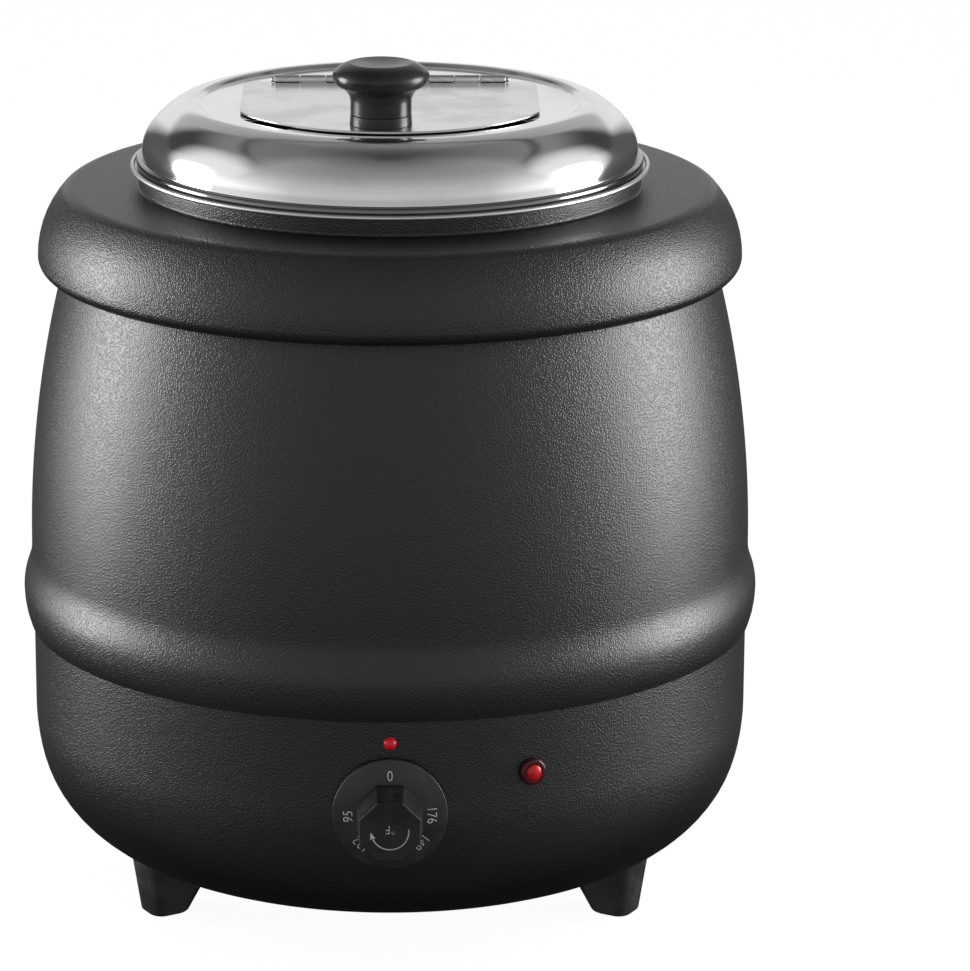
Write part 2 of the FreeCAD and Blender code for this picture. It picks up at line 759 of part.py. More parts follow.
def make_dial_knob():
    """Dial with a round skirt, an eight-sided grip and a hollow back."""
    front = dial_back - dial_skirt_edge
    edge = bar(0, front, dial_z, dial_skirt_radius, dial_skirt_edge)
    grip_corner = dial_grip_root / 2 / math.cos(math.radians(22.5))
    skirt = Part.makeCone(dial_skirt_radius, grip_corner, dial_skirt_rise, V(0, front, dial_z), -REAR)
    grip = Part.makeLoft([octagon(dial_grip_root, front), octagon(dial_grip_face, dial_face)], True, True)
    dial = join([edge, skirt, grip])
    hollow = bar(0, dial_back - dial_hollow_depth, dial_z, dial_hollow_radius, dial_hollow_depth)
    hub = bar(0, dial_back - dial_hollow_depth, dial_z, dial_hub_radius, dial_hollow_depth)
    bore = bar(0, dial_back - dial_bore_depth, dial_z, shaft_radius + thread_gap / 2, dial_bore_depth)
    return dial.cut(hollow.cut(hub)).cut(bore)


# Sensor bulb against the front of the tank
bulb_y = -(tank_radius + bulb_radius + joint_gap)
capillary_z = dial_z + capillary_rise


def make_capillary_tube():
    """Thin tube from the thermostat to the foot of the sensor bulb."""
    start = V(0, thermostat_back, capillary_z)
    turn_in = V(0, bulb_y - capillary_bend, capillary_z)
    corner, end = bend(turn_in, REAR, UP, capillary_bend)
    return tube([run(start, turn_in), corner, run(end, V(0, bulb_y, bulb_z))], capillary_radius)


def make_sensor_bulb():
    """Upright sensor bulb."""
    return post(0, bulb_y, bulb_z, bulb_radius, bulb_length)


def make_bulb_clip():
    """Spring clip that holds the bulb against the tank."""
    z = bulb_z + (bulb_length - clip_height) / 2
    loop = post(0, bulb_y, z, bulb_radius + clip_wall, clip_height)
    strip = disc(tank_radius + thread_gap + clip_wall, z, clip_height, tank_radius + thread_gap)
    ears = strip.common(box(-clip_half_width, clip_half_width, bulb_y, bulb_y / 2, z, z + clip_height))
    hole = post(0, bulb_y, z, bulb_radius + thread_gap, clip_height)
    mouth = box(-bulb_radius / 2, bulb_radius / 2, bulb_y, bulb_y / 2, z, z + clip_height)
    tank = post(0, 0, z, tank_radius + thread_gap, clip_height)
    return join([loop, ears]).cut(hole).cut(mouth).cut(tank)


def lamp_clip(barrel, z):
    """Push-on ring that holds a lamp against the inside of the bowl."""
    outer = barrel + lamp_clip_width
    seat = -(bowl_wall_y(z, outer) - joint_gap)
    ring = bar(0, seat, z, outer, lamp_clip_thickness)
    return ring.cut(bar(0, seat, z, barrel + thread_gap, lamp_clip_thickness))


def make_pilot_lamp():
    """Small red dome with its barrel through the bowl."""
    front = -(bowl_radius_at(pilot_z) + joint_gap)
    barrel = bar(0, front, pilot_z, pilot_barrel_radius, pilot_barrel_length)
    ball = Part.makeSphere(pilot_dome_radius, V(0, front, pilot_z))
    outside = bar(0, front - pilot_dome_radius, pilot_z, pilot_dome_radius, pilot_dome_radius)
    return join([barrel, ball.common(outside)])


def make_power_lamp_bezel():
    """Round bezel with a rounded rim and a barrel through the bowl, bored for the lens."""
    front = -(bowl_radius_at(power_z) + joint_gap)
    rim = bar(0, front - power_bezel_height, power_z, power_bezel_radius, power_bezel_height)
    rim_edges = [e for e in rim.Edges if abs(e.CenterOfMass.y - front + power_bezel_height) < thread_gap]
    rim = rim.makeFillet(power_bezel_round, [e for e in rim_edges if len(e.Vertexes) == 1])
    barrel = bar(0, front, power_z, power_barrel_radius, power_barrel_length)
    bore = bar(0, front - power_bezel_height, power_z, power_lens_radius + thread_gap,
               power_bezel_height + power_barrel_length / 2)
    return turned(join([rim, barrel]).cut(bore), power_azimuth)


def make_power_lamp_lens():
    """Red lens with a low dome, set in the bezel."""
    front = -(bowl_radius_at(power_z) + joint_gap + power_bezel_height + power_lens_stand)
    length = power_bezel_height + power_lens_stand + power_barrel_length / 2 - thread_gap
    barrel = bar(0, front, power_z, power_lens_radius, length)
    dome_bend = (power_lens_radius ** 2 + power_lens_dome ** 2) / (2 * power_lens_dome)
    ball = Part.makeSphere(dome_bend, V(0, front - power_lens_dome + dome_bend, power_z))
    cap = ball.common(bar(0, front - power_lens_dome, power_z, power_lens_radius, power_lens_dome))
    return turned(join([barrel, cap]), power_azimuth)


# Cord gland through the rear wall; its cap reaches as far back as the dial reaches forward
gland_wall = bowl_radius_at(dial_z) + joint_gap
gland_end = gland_wall + gland_flange + gland_thread
gland_reach = -dial_face
gland_seal_start = gland_end + joint_gap
gland_seal_end = gland_seal_start + gland_seal_length


def make_gland_body():
    """Threaded barrel with a hexagonal flange, bored for a cord."""
    start = gland_wall - gland_tail
    barrel = bar(0, start, dial_z, gland_barrel_radius, gland_end - start)
    flange = hexagon(gland_flats, gland_flange, REAR, V(0, gland_wall, dial_z))
    return join([barrel, flange]).cut(bar(0, start, dial_z, gland_inner_bore, gland_end - start))


def make_gland_cap():
    """Round cap that screws on the gland and squeezes the seal."""
    start = gland_wall + gland_flange + joint_gap
    cap = bar(0, start, dial_z, gland_cap_radius, gland_reach - start)
    end_edges = [e for e in cap.Edges if abs(e.CenterOfMass.y - gland_reach) < thread_gap]
    cap = cap.makeFillet(gland_cap_round, [e for e in end_edges if len(e.Vertexes) == 1])
    inside = bar(0, start, dial_z, gland_barrel_radius + thread_gap, gland_seal_end + joint_gap - start)
    return cap.cut(inside).cut(bar(0, start, dial_z, gland_bore, gland_reach - start))


def make_gland_seal():
    """Rubber sleeve that grips a cord."""
    sleeve = bar(0, gland_seal_start, dial_z, gland_barrel_radius, gland_seal_length)
    return sleeve.cut(bar(0, gland_seal_start, dial_z, gland_bore, gland_seal_length))


def make_gland_locknut():
    """Nut inside the bowl."""
    corner = gland_flats / 2 / math.cos(math.radians(30))
    end = bowl_wall_y(dial_z - corner, corner) - joint_gap
    start = end - locknut_height
    nut = hexagon(gland_flats, locknut_height, REAR, V(0, start, dial_z))
    return nut.cut(bar(0, start, dial_z, gland_barrel_radius + thread_gap, locknut_height))


def make_terminal_block():
    """Ceramic block on the bowl's floor where the wires meet."""
    block = box(-block_half_width, block_half_width, block_inner_y, block_outer_y,
                bowl_inside_z, bowl_inside_z + block_height)
    hole = block_screw_radius + thread_gap
    return cut_all(block, [post(x, y, bowl_inside_z, hole, block_height) for x, y in block_screw_points])


def make_heater_leads():
    """Two wires: thermostat to one heater leg, and the other leg to the terminal block."""
    x = leg_foot.x
    low_z = element_leg_z + 2 * lead_radius
    start = V(x, thermostat_back, dial_z - lead_radius)
    down_y = -(tank_radius + lead_radius + lead_bend / 2)
    corner, top = bend(V(x, down_y - lead_bend, start.z), REAR, -UP, lead_bend)
    low = V(x, down_y, low_z + lead_bend)
    foot, inward = bend(low, -UP, REAR, lead_bend)
    leg_front = leg_foot.y - element_radius - joint_gap
    first = tube([run(start, V(x, down_y - lead_bend, start.z)), corner, run(top, low), foot,
                  run(inward, V(x, leg_front, low_z))], lead_radius)
    leg_rear = leg_foot.y + element_radius + joint_gap
    second = tube([run(V(-x, leg_rear, low_z), V(-x, block_inner_y - joint_gap, low_z))], lead_radius)
    return [first, second]


def make_lamp_leads():
    """Two wires: pilot lamp to the thermostat, and power lamp round the tank to the terminal block."""
    pilot_back = -(bowl_radius_at(pilot_z) + joint_gap) + pilot_barrel_length
    drop_y = (thermostat_front + thermostat_back) / 2
    turn_y = drop_y - lamp_lead_bend / 2
    corner, end = bend(V(0, turn_y, pilot_z), REAR, -UP, lamp_lead_bend / 2)
    pilot = tube([run(V(0, pilot_back, pilot_z), V(0, turn_y, pilot_z)), corner,
                  run(end, V(0, drop_y, thermostat_z + thermostat_height + joint_gap))], lamp_lead_radius)
    power_back = bowl_radius_at(power_z) + joint_gap - power_barrel_length
    out = math.radians(power_azimuth - 90)
    radial = V(math.cos(out), math.sin(out), 0)
    around = V(-math.sin(out), math.cos(out), 0)
    inward = radial * (lamp_lead_circle + lamp_lead_bend) + UP * power_z
    corner, join_point = bend(inward, radial * -1, around, lamp_lead_bend)
    first_angle = math.atan2(join_point.y, join_point.x)
    circle = math.hypot(join_point.x, join_point.y)
    last_angle = math.radians(90) - lead_bend / circle
    heading = V(-math.sin(last_angle), math.cos(last_angle), 0)

    def around_tank(angle):
        return V(circle * math.cos(angle), circle * math.sin(angle), power_z)
    halfway = around_tank((first_angle + last_angle) / 2)
    sweep = Part.Arc(join_point, halfway, around_tank(last_angle)).toShape()
    down, fall = bend(around_tank(last_angle), heading, -UP, lead_bend)
    low_z = bowl_inside_z + block_height / 2
    low = V(fall.x, fall.y, low_z + lead_bend)
    foot, level = bend(low, -UP, -REAR, lead_bend)
    power = tube([run(radial * power_back + UP * power_z, inward), corner, sweep, down, run(fall, low), foot,
                  run(level, V(level.x, block_outer_y + joint_gap, low_z))], lamp_lead_radius)
    return [pilot, power]


def make_soup_pot():
    """Round pot, hung on the collar by its flange, with a rolled edge."""
    bead_circle = pot_flange_radius - pot_bead_radius
    moves = [(pot_radius - pot_corner_bend, 0), (pot_corner_bend, 90),
             (pot_flange_z - pot_lip_bend - pot_bottom_z - pot_corner_bend, 0), (pot_lip_bend, -90),
             (bead_circle - pot_radius - pot_lip_bend, 0)]
    pot = sheet((0, pot_bottom_z), 0, moves, pot_wall)
    bead = Part.makeTorus(bead_circle, pot_bead_radius, V(0, 0, pot_flange_z + pot_bead_radius), UP)
    return join([pot, bead])


# Lid heights, from its bead on the pot's flange up to the recessed top
lid_bead_z = pot_flange_top_z + seat_gap + lid_bead_radius
lid_start = (lid_side_radius, lid_bead_z)
lid_rise_moves = [(lid_side_rise, 0), (lid_side_bend, lid_side_turn), (lid_shoulder_bend, lid_shoulder_turn),
                  (lid_top_bend, 90 - lid_side_turn - lid_shoulder_turn)]
lid_crest = end_of(lid_start, 90, lid_rise_moves)
crest_turn = math.radians(lid_crest_turn)
recess_slope = (lid_recess_depth - 2 * lid_crest_bend * (1 - math.cos(crest_turn))) / math.sin(crest_turn)
lid_recess_moves = [(lid_crest_bend, lid_crest_turn), (recess_slope, 0), (lid_crest_bend, -lid_crest_turn)]
lid_moves = lid_rise_moves + lid_recess_moves
lid_floor = end_of(lid_start, 90, lid_moves)
lid_floor_z = lid_floor[1]
lid_under_z = lid_floor_z - lid_wall

# Hinge on the lid's floor
hinge_z = lid_floor_z + turn_gap + hinge_radius
knuckle_pitch = hinge_length / knuckle_count
knuckle_starts = [-hinge_length / 2 + i * knuckle_pitch for i in range(knuckle_count)]
lid_knuckles = knuckle_starts[0::2]
flap_knuckles = knuckle_starts[1::2]
hinge_notch_rear = hinge_y + hinge_radius + turn_gap


def make_lid_cover():
    """Domed lid with a recessed flat top, open under the flap and notched at the flap's corners."""
    shell = sheet(lid_start, 90, lid_moves + [(lid_floor[0], 0)], lid_wall)
    bead_circle = lid_bead_reach - lid_bead_radius
    bead = Part.makeTorus(bead_circle, lid_bead_radius, V(0, 0, lid_bead_z), UP)
    lid = join([shell, bead])
    low = lid_under_z - lid_wall
    high = lid_floor_z + lid_wall
    mouth = disc(opening_radius, low, high - low).common(
        box(-opening_half_width, opening_half_width, -opening_radius, opening_rear, low, high))
    half_hinge = hinge_length / 2 + turn_gap
    cuts = [mouth, box(-half_hinge, half_hinge, opening_rear - lid_wall, hinge_notch_rear, low, high)]
    for side in (-1, 1):
        span = notch_end - notch_start
        start = 270 + notch_start if side > 0 else 270 - notch_end
        wedge = Part.makeCylinder(notch_radius, high - low, V(0, 0, low), UP, span)
        cuts.append(turned(wedge.cut(post(0, 0, low, opening_radius - lid_wall, high - low)), start))
    return cut_all(lid, cuts)


def knuckle(x, bore):
    """One barrel of the hinge."""
    barrel = bar(x + turn_gap / 2, hinge_y, hinge_z, hinge_radius, knuckle_pitch - turn_gap, RIGHT)
    return barrel.cut(bar(x, hinge_y, hinge_z, bore, knuckle_pitch, RIGHT))


def make_lid_hinge_leaf():
    """Leaf welded under the lid's floor, with every other knuckle standing up through the opening."""
    leaf_z = lid_under_z - leaf_thickness
    web_front = hinge_y + hinge_radius - leaf_thickness
    half = hinge_length / 2 - turn_gap / 2
    leaf = box(-half, half, web_front, hinge_y + leaf_depth, leaf_z, lid_under_z)
    pieces = [leaf]
    for x in lid_knuckles:
        pieces.append(box(x + turn_gap / 2, x + knuckle_pitch - turn_gap / 2,
                          web_front, hinge_y + hinge_radius, leaf_z, hinge_z))
        pieces.append(knuckle(x, hinge_pin_radius))
    bores = [bar(x, hinge_y, hinge_z, hinge_pin_radius, knuckle_pitch, RIGHT) for x in lid_knuckles]
    return cut_all(join(pieces), bores)


def make_hinge_pin():
    """Pin through all the knuckles, a little longer than the hinge."""
    length = hinge_length + 2 * hinge_pin_nub
    return bar(-length / 2, hinge_y, hinge_z, hinge_pin_radius, length, RIGHT)


# Flap on top of the opening
flap_under_z = lid_floor_z + flap_lift
flap_top_z = flap_under_z + flap_thickness


def make_flap_plate():
    """Flap with a round front, bored for the knob's screw, with its own knuckles at the rear."""
    plate = disc(flap_radius, flap_under_z, flap_thickness).common(
        box(-flap_half_width, flap_half_width, -flap_radius, hinge_y, flap_under_z, flap_top_z))
    uprights = [e for e in plate.Edges if abs(e.Vertexes[0].Z - e.Vertexes[-1].Z) > flap_thickness / 2]
    plate = plate.makeFillet(flap_front_corner, [e for e in uprights if e.Vertexes[0].Y < 0])
    uprights = [e for e in plate.Edges if abs(e.Vertexes[0].Z - e.Vertexes[-1].Z) > flap_thickness / 2]
    rear = [e for e in uprights if e.Vertexes[0].Y > hinge_y - thread_gap]
    plate = plate.makeFillet(flap_rear_corner, rear)
    pin_reach = hinge_length + 2 * hinge_pin_nub + 2 * turn_gap
    cuts = [post(knob_x, knob_y, flap_under_z, knob_screw_radius + thread_gap, flap_thickness),
            bar(-pin_reach / 2, hinge_y, hinge_z, hinge_pin_radius + turn_gap, pin_reach, RIGHT)]
    room = hinge_radius + turn_gap
    for x in lid_knuckles:
        cuts.append(bar(x - turn_gap / 2, hinge_y, hinge_z, room, knuckle_pitch + turn_gap, RIGHT))
    bore = hinge_pin_radius + running_gap
    flap = join([cut_all(plate, cuts)] + [knuckle(x, bore) for x in flap_knuckles])
    return cut_all(flap, [bar(x, hinge_y, hinge_z, bore, knuckle_pitch, RIGHT) for x in flap_knuckles])


knob_base_z = flap_top_z + knob_collar_height


def knob_spin(edges):
    """Solid of revolution that is moved to the knob's place on the flap."""
    solid = spin(edges)
    solid.translate(V(knob_x, knob_y, 0))
    return solid


def make_knob_collar():
    """Low collar between the flap and the knob."""
    bore = knob_screw_radius + thread_gap
    return knob_spin(polygon_edges([(bore, flap_top_z), (knob_foot_radius, flap_top_z),
                                    (knob_neck_radius, knob_base_z), (bore, knob_base_z)]))


def make_lid_knob():
    """Mushroom knob with a slim neck, a round head and a dished top."""
    flare_out = knob_head_radius - knob_neck_radius
    flare_up = knob_head_z - knob_neck_top
    flare_turn = 2 * math.degrees(math.atan2(flare_out, flare_up))
    flare_bend = flare_up / math.sin(math.radians(flare_turn))
    start = (knob_neck_radius, knob_base_z)
    moves = [(knob_neck_top - knob_collar_height, 0), (flare_bend * knob_flare_share, -flare_turn),
             (flare_bend * (1 - knob_flare_share), flare_turn), (knob_shoulder_bend, knob_shoulder_turn)]
    slope = math.radians(90 - knob_shoulder_turn)
    moves.append(((end_of(start, 90, moves)[0] - knob_rim_radius) / math.cos(slope), 0))
    moves.append((knob_rim_bend, 90 - knob_shoulder_turn + knob_dish_angle))
    dish_bend = end_of(start, 90, moves)[0] / math.sin(math.radians(knob_dish_angle))
    outline, top = trace(start, 90, moves + [(dish_bend, -knob_dish_angle)])
    hole = knob_screw_radius + thread_gap
    hole_z = flap_top_z + knob_screw_depth + joint_gap
    return knob_spin(outline + [line(top, (0, hole_z)), line((0, hole_z), (hole, hole_z)),
                                line((hole, hole_z), (hole, knob_base_z)), line((hole, knob_base_z), start)])


def make_knob_screw():
    """Screw from under the flap into the knob."""
    return pan_screw(knob_x, knob_y, flap_under_z, flap_top_z + knob_screw_depth, knob_screw_radius,
                     knob_screw_head_radius, knob_screw_head_height)


os.makedirs("parts", exist_ok=True)

# Casing
export("base_bowl", make_base_bowl())
export("barrel_casing", make_barrel_casing())
export("top_ring", make_top_ring())
stud_low_z = barrel_flange_under_z - ring_stud_tail
stud_length = ring_under_z - stud_low_z
export("ring_studs", *[post(x, y, stud_low_z, ring_stud_radius, stud_length) for x, y in ring_stud_points])
ring_nut_z = barrel_flange_under_z - nut_height
export("ring_nuts", *[hex_nut(x, y, ring_nut_z, nut_flats, nut_height, ring_stud_radius)
                      for x, y in ring_stud_points])
export("water_tank", make_water_tank())
export("tank_gasket", make_tank_gasket())
tie_nut_z = plate_under_z - nut_height
tie_low_z = tie_nut_z - tie_rod_tail
tie_rod_length = tank_bottom_z - tie_low_z
export("tie_rods", *[post(x, y, tie_low_z, tie_rod_radius, tie_rod_length) for x, y in tie_rod_points])
export("tie_rod_nuts", *[hex_nut(x, y, tie_nut_z, nut_flats, nut_height, tie_rod_radius)
                         for x, y in tie_rod_points])
export("bottom_plate", make_bottom_plate())
for name, angle in foot_angles.items():
    export(name, make_foot(angle))
export("foot_screws", *[make_foot_screw(angle) for angle in foot_angles.values()])

# Heater
export("heat_spreader", make_heat_spreader())
export("heating_element", make_heating_element())
export("heater_clamp_plate", make_heater_clamp_plate())
heater_stud_z = heater_nut_z - heater_stud_tail + heater_nut_height
export("heater_stud", post(0, 0, heater_stud_z, heater_stud_radius, tank_bottom_z - heater_stud_z))
export("heater_nut", hex_nut(0, 0, heater_nut_z, heater_nut_flats, heater_nut_height, heater_stud_radius))
export("thermal_cutout", make_thermal_cutout())

# Controls and wiring
export("thermostat_body", make_thermostat_body())
export("thermostat_screws", *[make_thermostat_screw(side) for side in (-1, 1)])
export("thermostat_shaft", make_thermostat_shaft())
export("dial_knob", make_dial_knob())
export("capillary_tube", make_capillary_tube())
export("sensor_bulb", make_sensor_bulb())
export("bulb_clip", make_bulb_clip())
export("pilot_lamp", make_pilot_lamp())
export("pilot_lamp_clip", lamp_clip(pilot_barrel_radius, pilot_z))
export("power_lamp_bezel", make_power_lamp_bezel())
export("power_lamp_lens", make_power_lamp_lens())
export("power_lamp_clip", turned(lamp_clip(power_barrel_radius, power_z), power_azimuth))
export("terminal_block", make_terminal_block())
block_top_z = bowl_inside_z + block_height
export("terminal_block_screws", *[pan_screw(x, y, block_top_z, bowl_floor_z, block_screw_radius,
                                            block_screw_head, block_screw_head_height)
                                  for x, y in block_screw_points])
export("heater_leads", *make_heater_leads())
export("lamp_leads", *make_lamp_leads())
export("gland_body", make_gland_body())
export("gland_cap", make_gland_cap())
export("gland_seal", make_gland_seal())
export("gland_locknut", make_gland_locknut())

# Pot and lid
export("soup_pot", make_soup_pot())
export("lid_cover", make_lid_cover())
export("lid_hinge_leaf", make_lid_hinge_leaf())
export("hinge_pin", make_hinge_pin())
export("flap_plate", make_flap_plate())
export("knob_collar", make_knob_collar())
export("lid_knob", make_lid_knob())
export("knob_screw", make_knob_screw())
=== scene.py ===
import math

import bmesh
import bpy
from mathutils import Matrix, Vector


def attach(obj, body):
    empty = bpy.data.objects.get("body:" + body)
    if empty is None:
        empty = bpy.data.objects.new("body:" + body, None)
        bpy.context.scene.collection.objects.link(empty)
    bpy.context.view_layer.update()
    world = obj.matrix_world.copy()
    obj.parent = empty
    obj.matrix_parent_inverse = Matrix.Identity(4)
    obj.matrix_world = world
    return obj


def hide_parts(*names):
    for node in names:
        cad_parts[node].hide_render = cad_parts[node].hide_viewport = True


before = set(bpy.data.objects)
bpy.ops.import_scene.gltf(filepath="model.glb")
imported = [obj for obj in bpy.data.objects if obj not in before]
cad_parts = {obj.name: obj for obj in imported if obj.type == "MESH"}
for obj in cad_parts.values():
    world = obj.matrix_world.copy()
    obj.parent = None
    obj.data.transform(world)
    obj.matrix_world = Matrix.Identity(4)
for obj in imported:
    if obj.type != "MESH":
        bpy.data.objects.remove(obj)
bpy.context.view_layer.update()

bl_info = {
    "name": "Soup kettle",
    "version": (1, 0, 0),
    "blender": (4, 5, 0),
    "location": "View3D > Sidebar > Kettle",
    "description": "Dresses the packed soup kettle: casing, pot, lid, flap, dial, lamps, feet and studio",
    "category": "Object",
}

X = Vector((1, 0, 0))
Y = Vector((0, 1, 0))
Z = Vector((0, 0, 1))
ROUND = 192                 # steps of a full turn on the large pieces
DIAL_ROUND = 128            # on the dial
KNOB_ROUND = 96             # on the knob and the gland
SMALL_ROUND = 72            # and on the small pieces
JOIN = 1e-6                 # vertices closer than this are one
BOWL_CONE = 21.2            # slope of the bowl's underside, in degrees
BOWL_EDGE = 0.105           # radius at which the bowl's flat floor turns into that slope
KNUCKLES = 9                # of the hinge: the odd ones on the lid, the even ones on the flap
KNUCKLE_GAP = 0.00015       # at each end of a knuckle


# Properties

def size(metres, name, description):
    """A length that the user may change."""
    return bpy.props.FloatProperty(name=name, description=description, default=metres, precision=5,
                                   unit="LENGTH")


def angle(degrees, name, description):
    """An angle that the user may change."""
    return bpy.props.FloatProperty(name=name, description=description, default=math.radians(degrees),
                                   subtype="ANGLE")


def colour(red, green, blue, name, description):
    """A colour that the user may change."""
    return bpy.props.FloatVectorProperty(name=name, description=description, default=(red, green, blue),
                                         size=3, min=0.0, max=1.0, subtype="COLOR")


def power(watts, name, description):
    """The power of a light, which the user may change."""
    return bpy.props.FloatProperty(name=name, description=description, default=watts, min=0.0,
                                   subtype="POWER")


class CasingSizes(bpy.types.PropertyGroup):
    """Bowl, barrel and top ring."""
    wall: size(0.0009, "Wall", "Thickness of the pressed steel")
    bowl_radius: size(0.166, "Bowl radius", "Outer radius of the bowl's upright wall")
    bowl_floor: size(0.0155, "Bowl floor", "Height of the bowl's flat floor")
    bowl_rim: size(0.153, "Bowl rim", "Height of the bowl's rim inside the belt")
    lip_radius: size(0.1679, "Lip radius", "Radius of the barrel's lower lip")
    lip_height: size(0.1283, "Lip height", "Height of the barrel's lower lip")
    ring_radius: size(0.161, "Ring radius", "Outer radius of the top ring")
    ring_skirt: size(0.2935, "Ring skirt", "Height of the ring's turned-in skirt")
    collar_radius: size(0.1143, "Collar radius", "Outer radius of the upright collar")
    coat: colour(0.0048, 0.0048, 0.0050, "Coat", "Colour of the textured coat")
    coat_worn: colour(0.010, 0.010, 0.0103, "Coat, raised", "Colour of the raised grains of the coat")


class VesselSizes(bpy.types.PropertyGroup):
    """Soup pot and water tank."""
    wall: size(0.0008, "Wall", "Thickness of the steel")
    pot_radius: size(0.108, "Pot radius", "Outer radius of the pot")
    pot_bottom: size(0.062355, "Pot bottom", "Height of the pot's underside")
    pot_flange: size(0.339555, "Pot flange", "Height of the underside of the pot's flange")
    tank_radius: size(0.1126, "Tank radius", "Outer radius of the tank")
    tank_bottom: size(0.052, "Tank bottom", "Height of the tank's underside")
    tank_flange: size(0.328555, "Tank flange", "Height of the underside of the tank's flange")
    satin: colour(0.74, 0.74, 0.73, "Satin steel", "Colour of the brushed steel")
    satin_dark: colour(0.56, 0.56, 0.56, "Satin steel, dark lines", "Colour of the brushed lines")


class LidSizes(bpy.types.PropertyGroup):
    """Lid, flap, hinge and knob."""
    wall: size(0.0007, "Lid wall", "Thickness of the lid")
    bead_radius: size(0.0019, "Bead", "Radius of the rolled bead")
    bead_circle: size(0.1136, "Bead circle", "Radius of the circle that the bead follows")
    bead_height: size(0.342455, "Bead height", "Height of the bead's middle")
    floor_height: size(0.367872, "Lid floor", "Height of the recessed flat top")
    mouth_radius: size(0.067, "Mouth radius", "Radius of the opening's front")
    notch_radius: size(0.076, "Notch radius", "Outer radius of the two notches beside the flap")
    flap_radius: size(0.0725, "Flap radius", "Radius of the flap's round front")
    flap_half_width: size(0.0675, "Flap half width", "From the middle to the flap's side")
    flap_under: size(0.368372, "Flap underside", "Height of the flap's underside")
    flap_thickness: size(0.001, "Flap thickness", "Thickness of the flap")
    hinge_y: size(0.042, "Hinge place", "Distance of the hinge axis behind the middle")
    hinge_height: size(0.370372, "Hinge height", "Height of the hinge axis")
    knuckle_radius: size(0.0022, "Knuckle radius", "Outer radius of the hinge's knuckles")
    hinge_length: size(0.107, "Hinge length", "Length of all knuckles together")
    knob_x: size(-0.004, "Knob place, across", "Place of the knob to the right of the middle")
    knob_y: size(-0.054, "Knob place, along", "Place of the knob behind the middle")
    knob_neck: size(0.0136, "Knob neck", "Radius of the knob's neck")
    knob_head: size(0.02145, "Knob head", "Radius of the knob's head")
    steel: colour(0.80, 0.80, 0.80, "Polished steel", "Colour of the lid")
    steel_smudge: colour(0.70, 0.70, 0.705, "Polished steel, smudged", "Colour where the polish is duller")
    # The bead's colour is painted shade: it stands in for the shade and the dark reflection round the lid's
    # bead
    bead_painted_shade: colour(0.20, 0.20, 0.20, "Polished steel, bead", "Colour of the dull bead")
    flap_steel: colour(0.73, 0.73, 0.735, "Flap steel", "Colour of the flap")
    knob: colour(0.006, 0.006, 0.0065, "Knob", "Colour of the glossy knob")
    knob_haze: colour(0.016, 0.0155, 0.016, "Knob, hazed", "Colour of the knob where handling dulled it")


class ControlSizes(bpy.types.PropertyGroup):
    """Dial, lamps, feet and gland."""
    axis_height: size(0.086, "Dial axis", "Height of the dial and of the gland")
    dial_back: size(0.166993, "Dial back", "Distance of the dial's back in front of the middle")
    skirt_radius: size(0.0252, "Dial skirt", "Radius of the dial's round skirt")
    dial_depth: size(0.024, "Dial depth", "From the back of the skirt to the face")
    grip_root: size(0.0292, "Grip root", "Across the flats of the grip at the skirt")
    grip_face: size(0.0263, "Grip face", "Across the flats of the grip at its face")
    pilot_height: size(0.118, "Pilot height", "Height of the small lamp")
    pilot_radius: size(0.00305, "Pilot radius", "Radius of the small lamp's dome")
    power_height: size(0.101, "Power lamp height", "Height of the power lamp")
    power_turn: angle(22.0, "Power lamp turn", "Angle of the power lamp round the kettle, from the front")
    power_radius: size(0.006, "Bezel radius", "Radius of the power lamp's bezel")
    foot_circle: size(0.1205, "Foot circle", "Radius of the circle on which the feet stand")
    foot_half: size(0.0095, "Foot half width", "Half of a foot's width at the table")
    gland_cap: size(0.0105, "Gland cap", "Radius of the gland's cap")
    trim: colour(0.016, 0.0165, 0.0175, "Trim", "Colour of the moulded plastic")
    grip: colour(0.006, 0.0055, 0.0055, "Grip", "Colour of the dial's grip")
    trim_dust: colour(0.030, 0.030, 0.031, "Trim, dusty", "Colour of the moulded plastic where dust lies")
    figures: colour(0.62, 0.62, 0.61, "Figures", "Colour of the dial's printed figures")
    figures_worn: colour(0.42, 0.42, 0.42, "Figures, worn", "Colour of the figures where the print is thin")
    lamp: colour(0.62, 0.012, 0.022, "Lamp", "Colour of the red lamps")
    lamp_deep: colour(0.33, 0.004, 0.010, "Lamp, deep", "Colour of the red lamps between the ridges")
    bezel: colour(0.070, 0.003, 0.007, "Bezel", "Colour of the power lamp's bezel")


class StudioLevels(bpy.types.PropertyGroup):
    """Floor and light."""
    floor: colour(0.8, 0.8, 0.8, "Floor", "Colour of the pale floor")
    left_power: power(22.0, "Left softbox", "Power of the softbox on the left")
    right_power: power(25.5, "Right softbox", "Power of the softbox on the right")


# Mesh tools

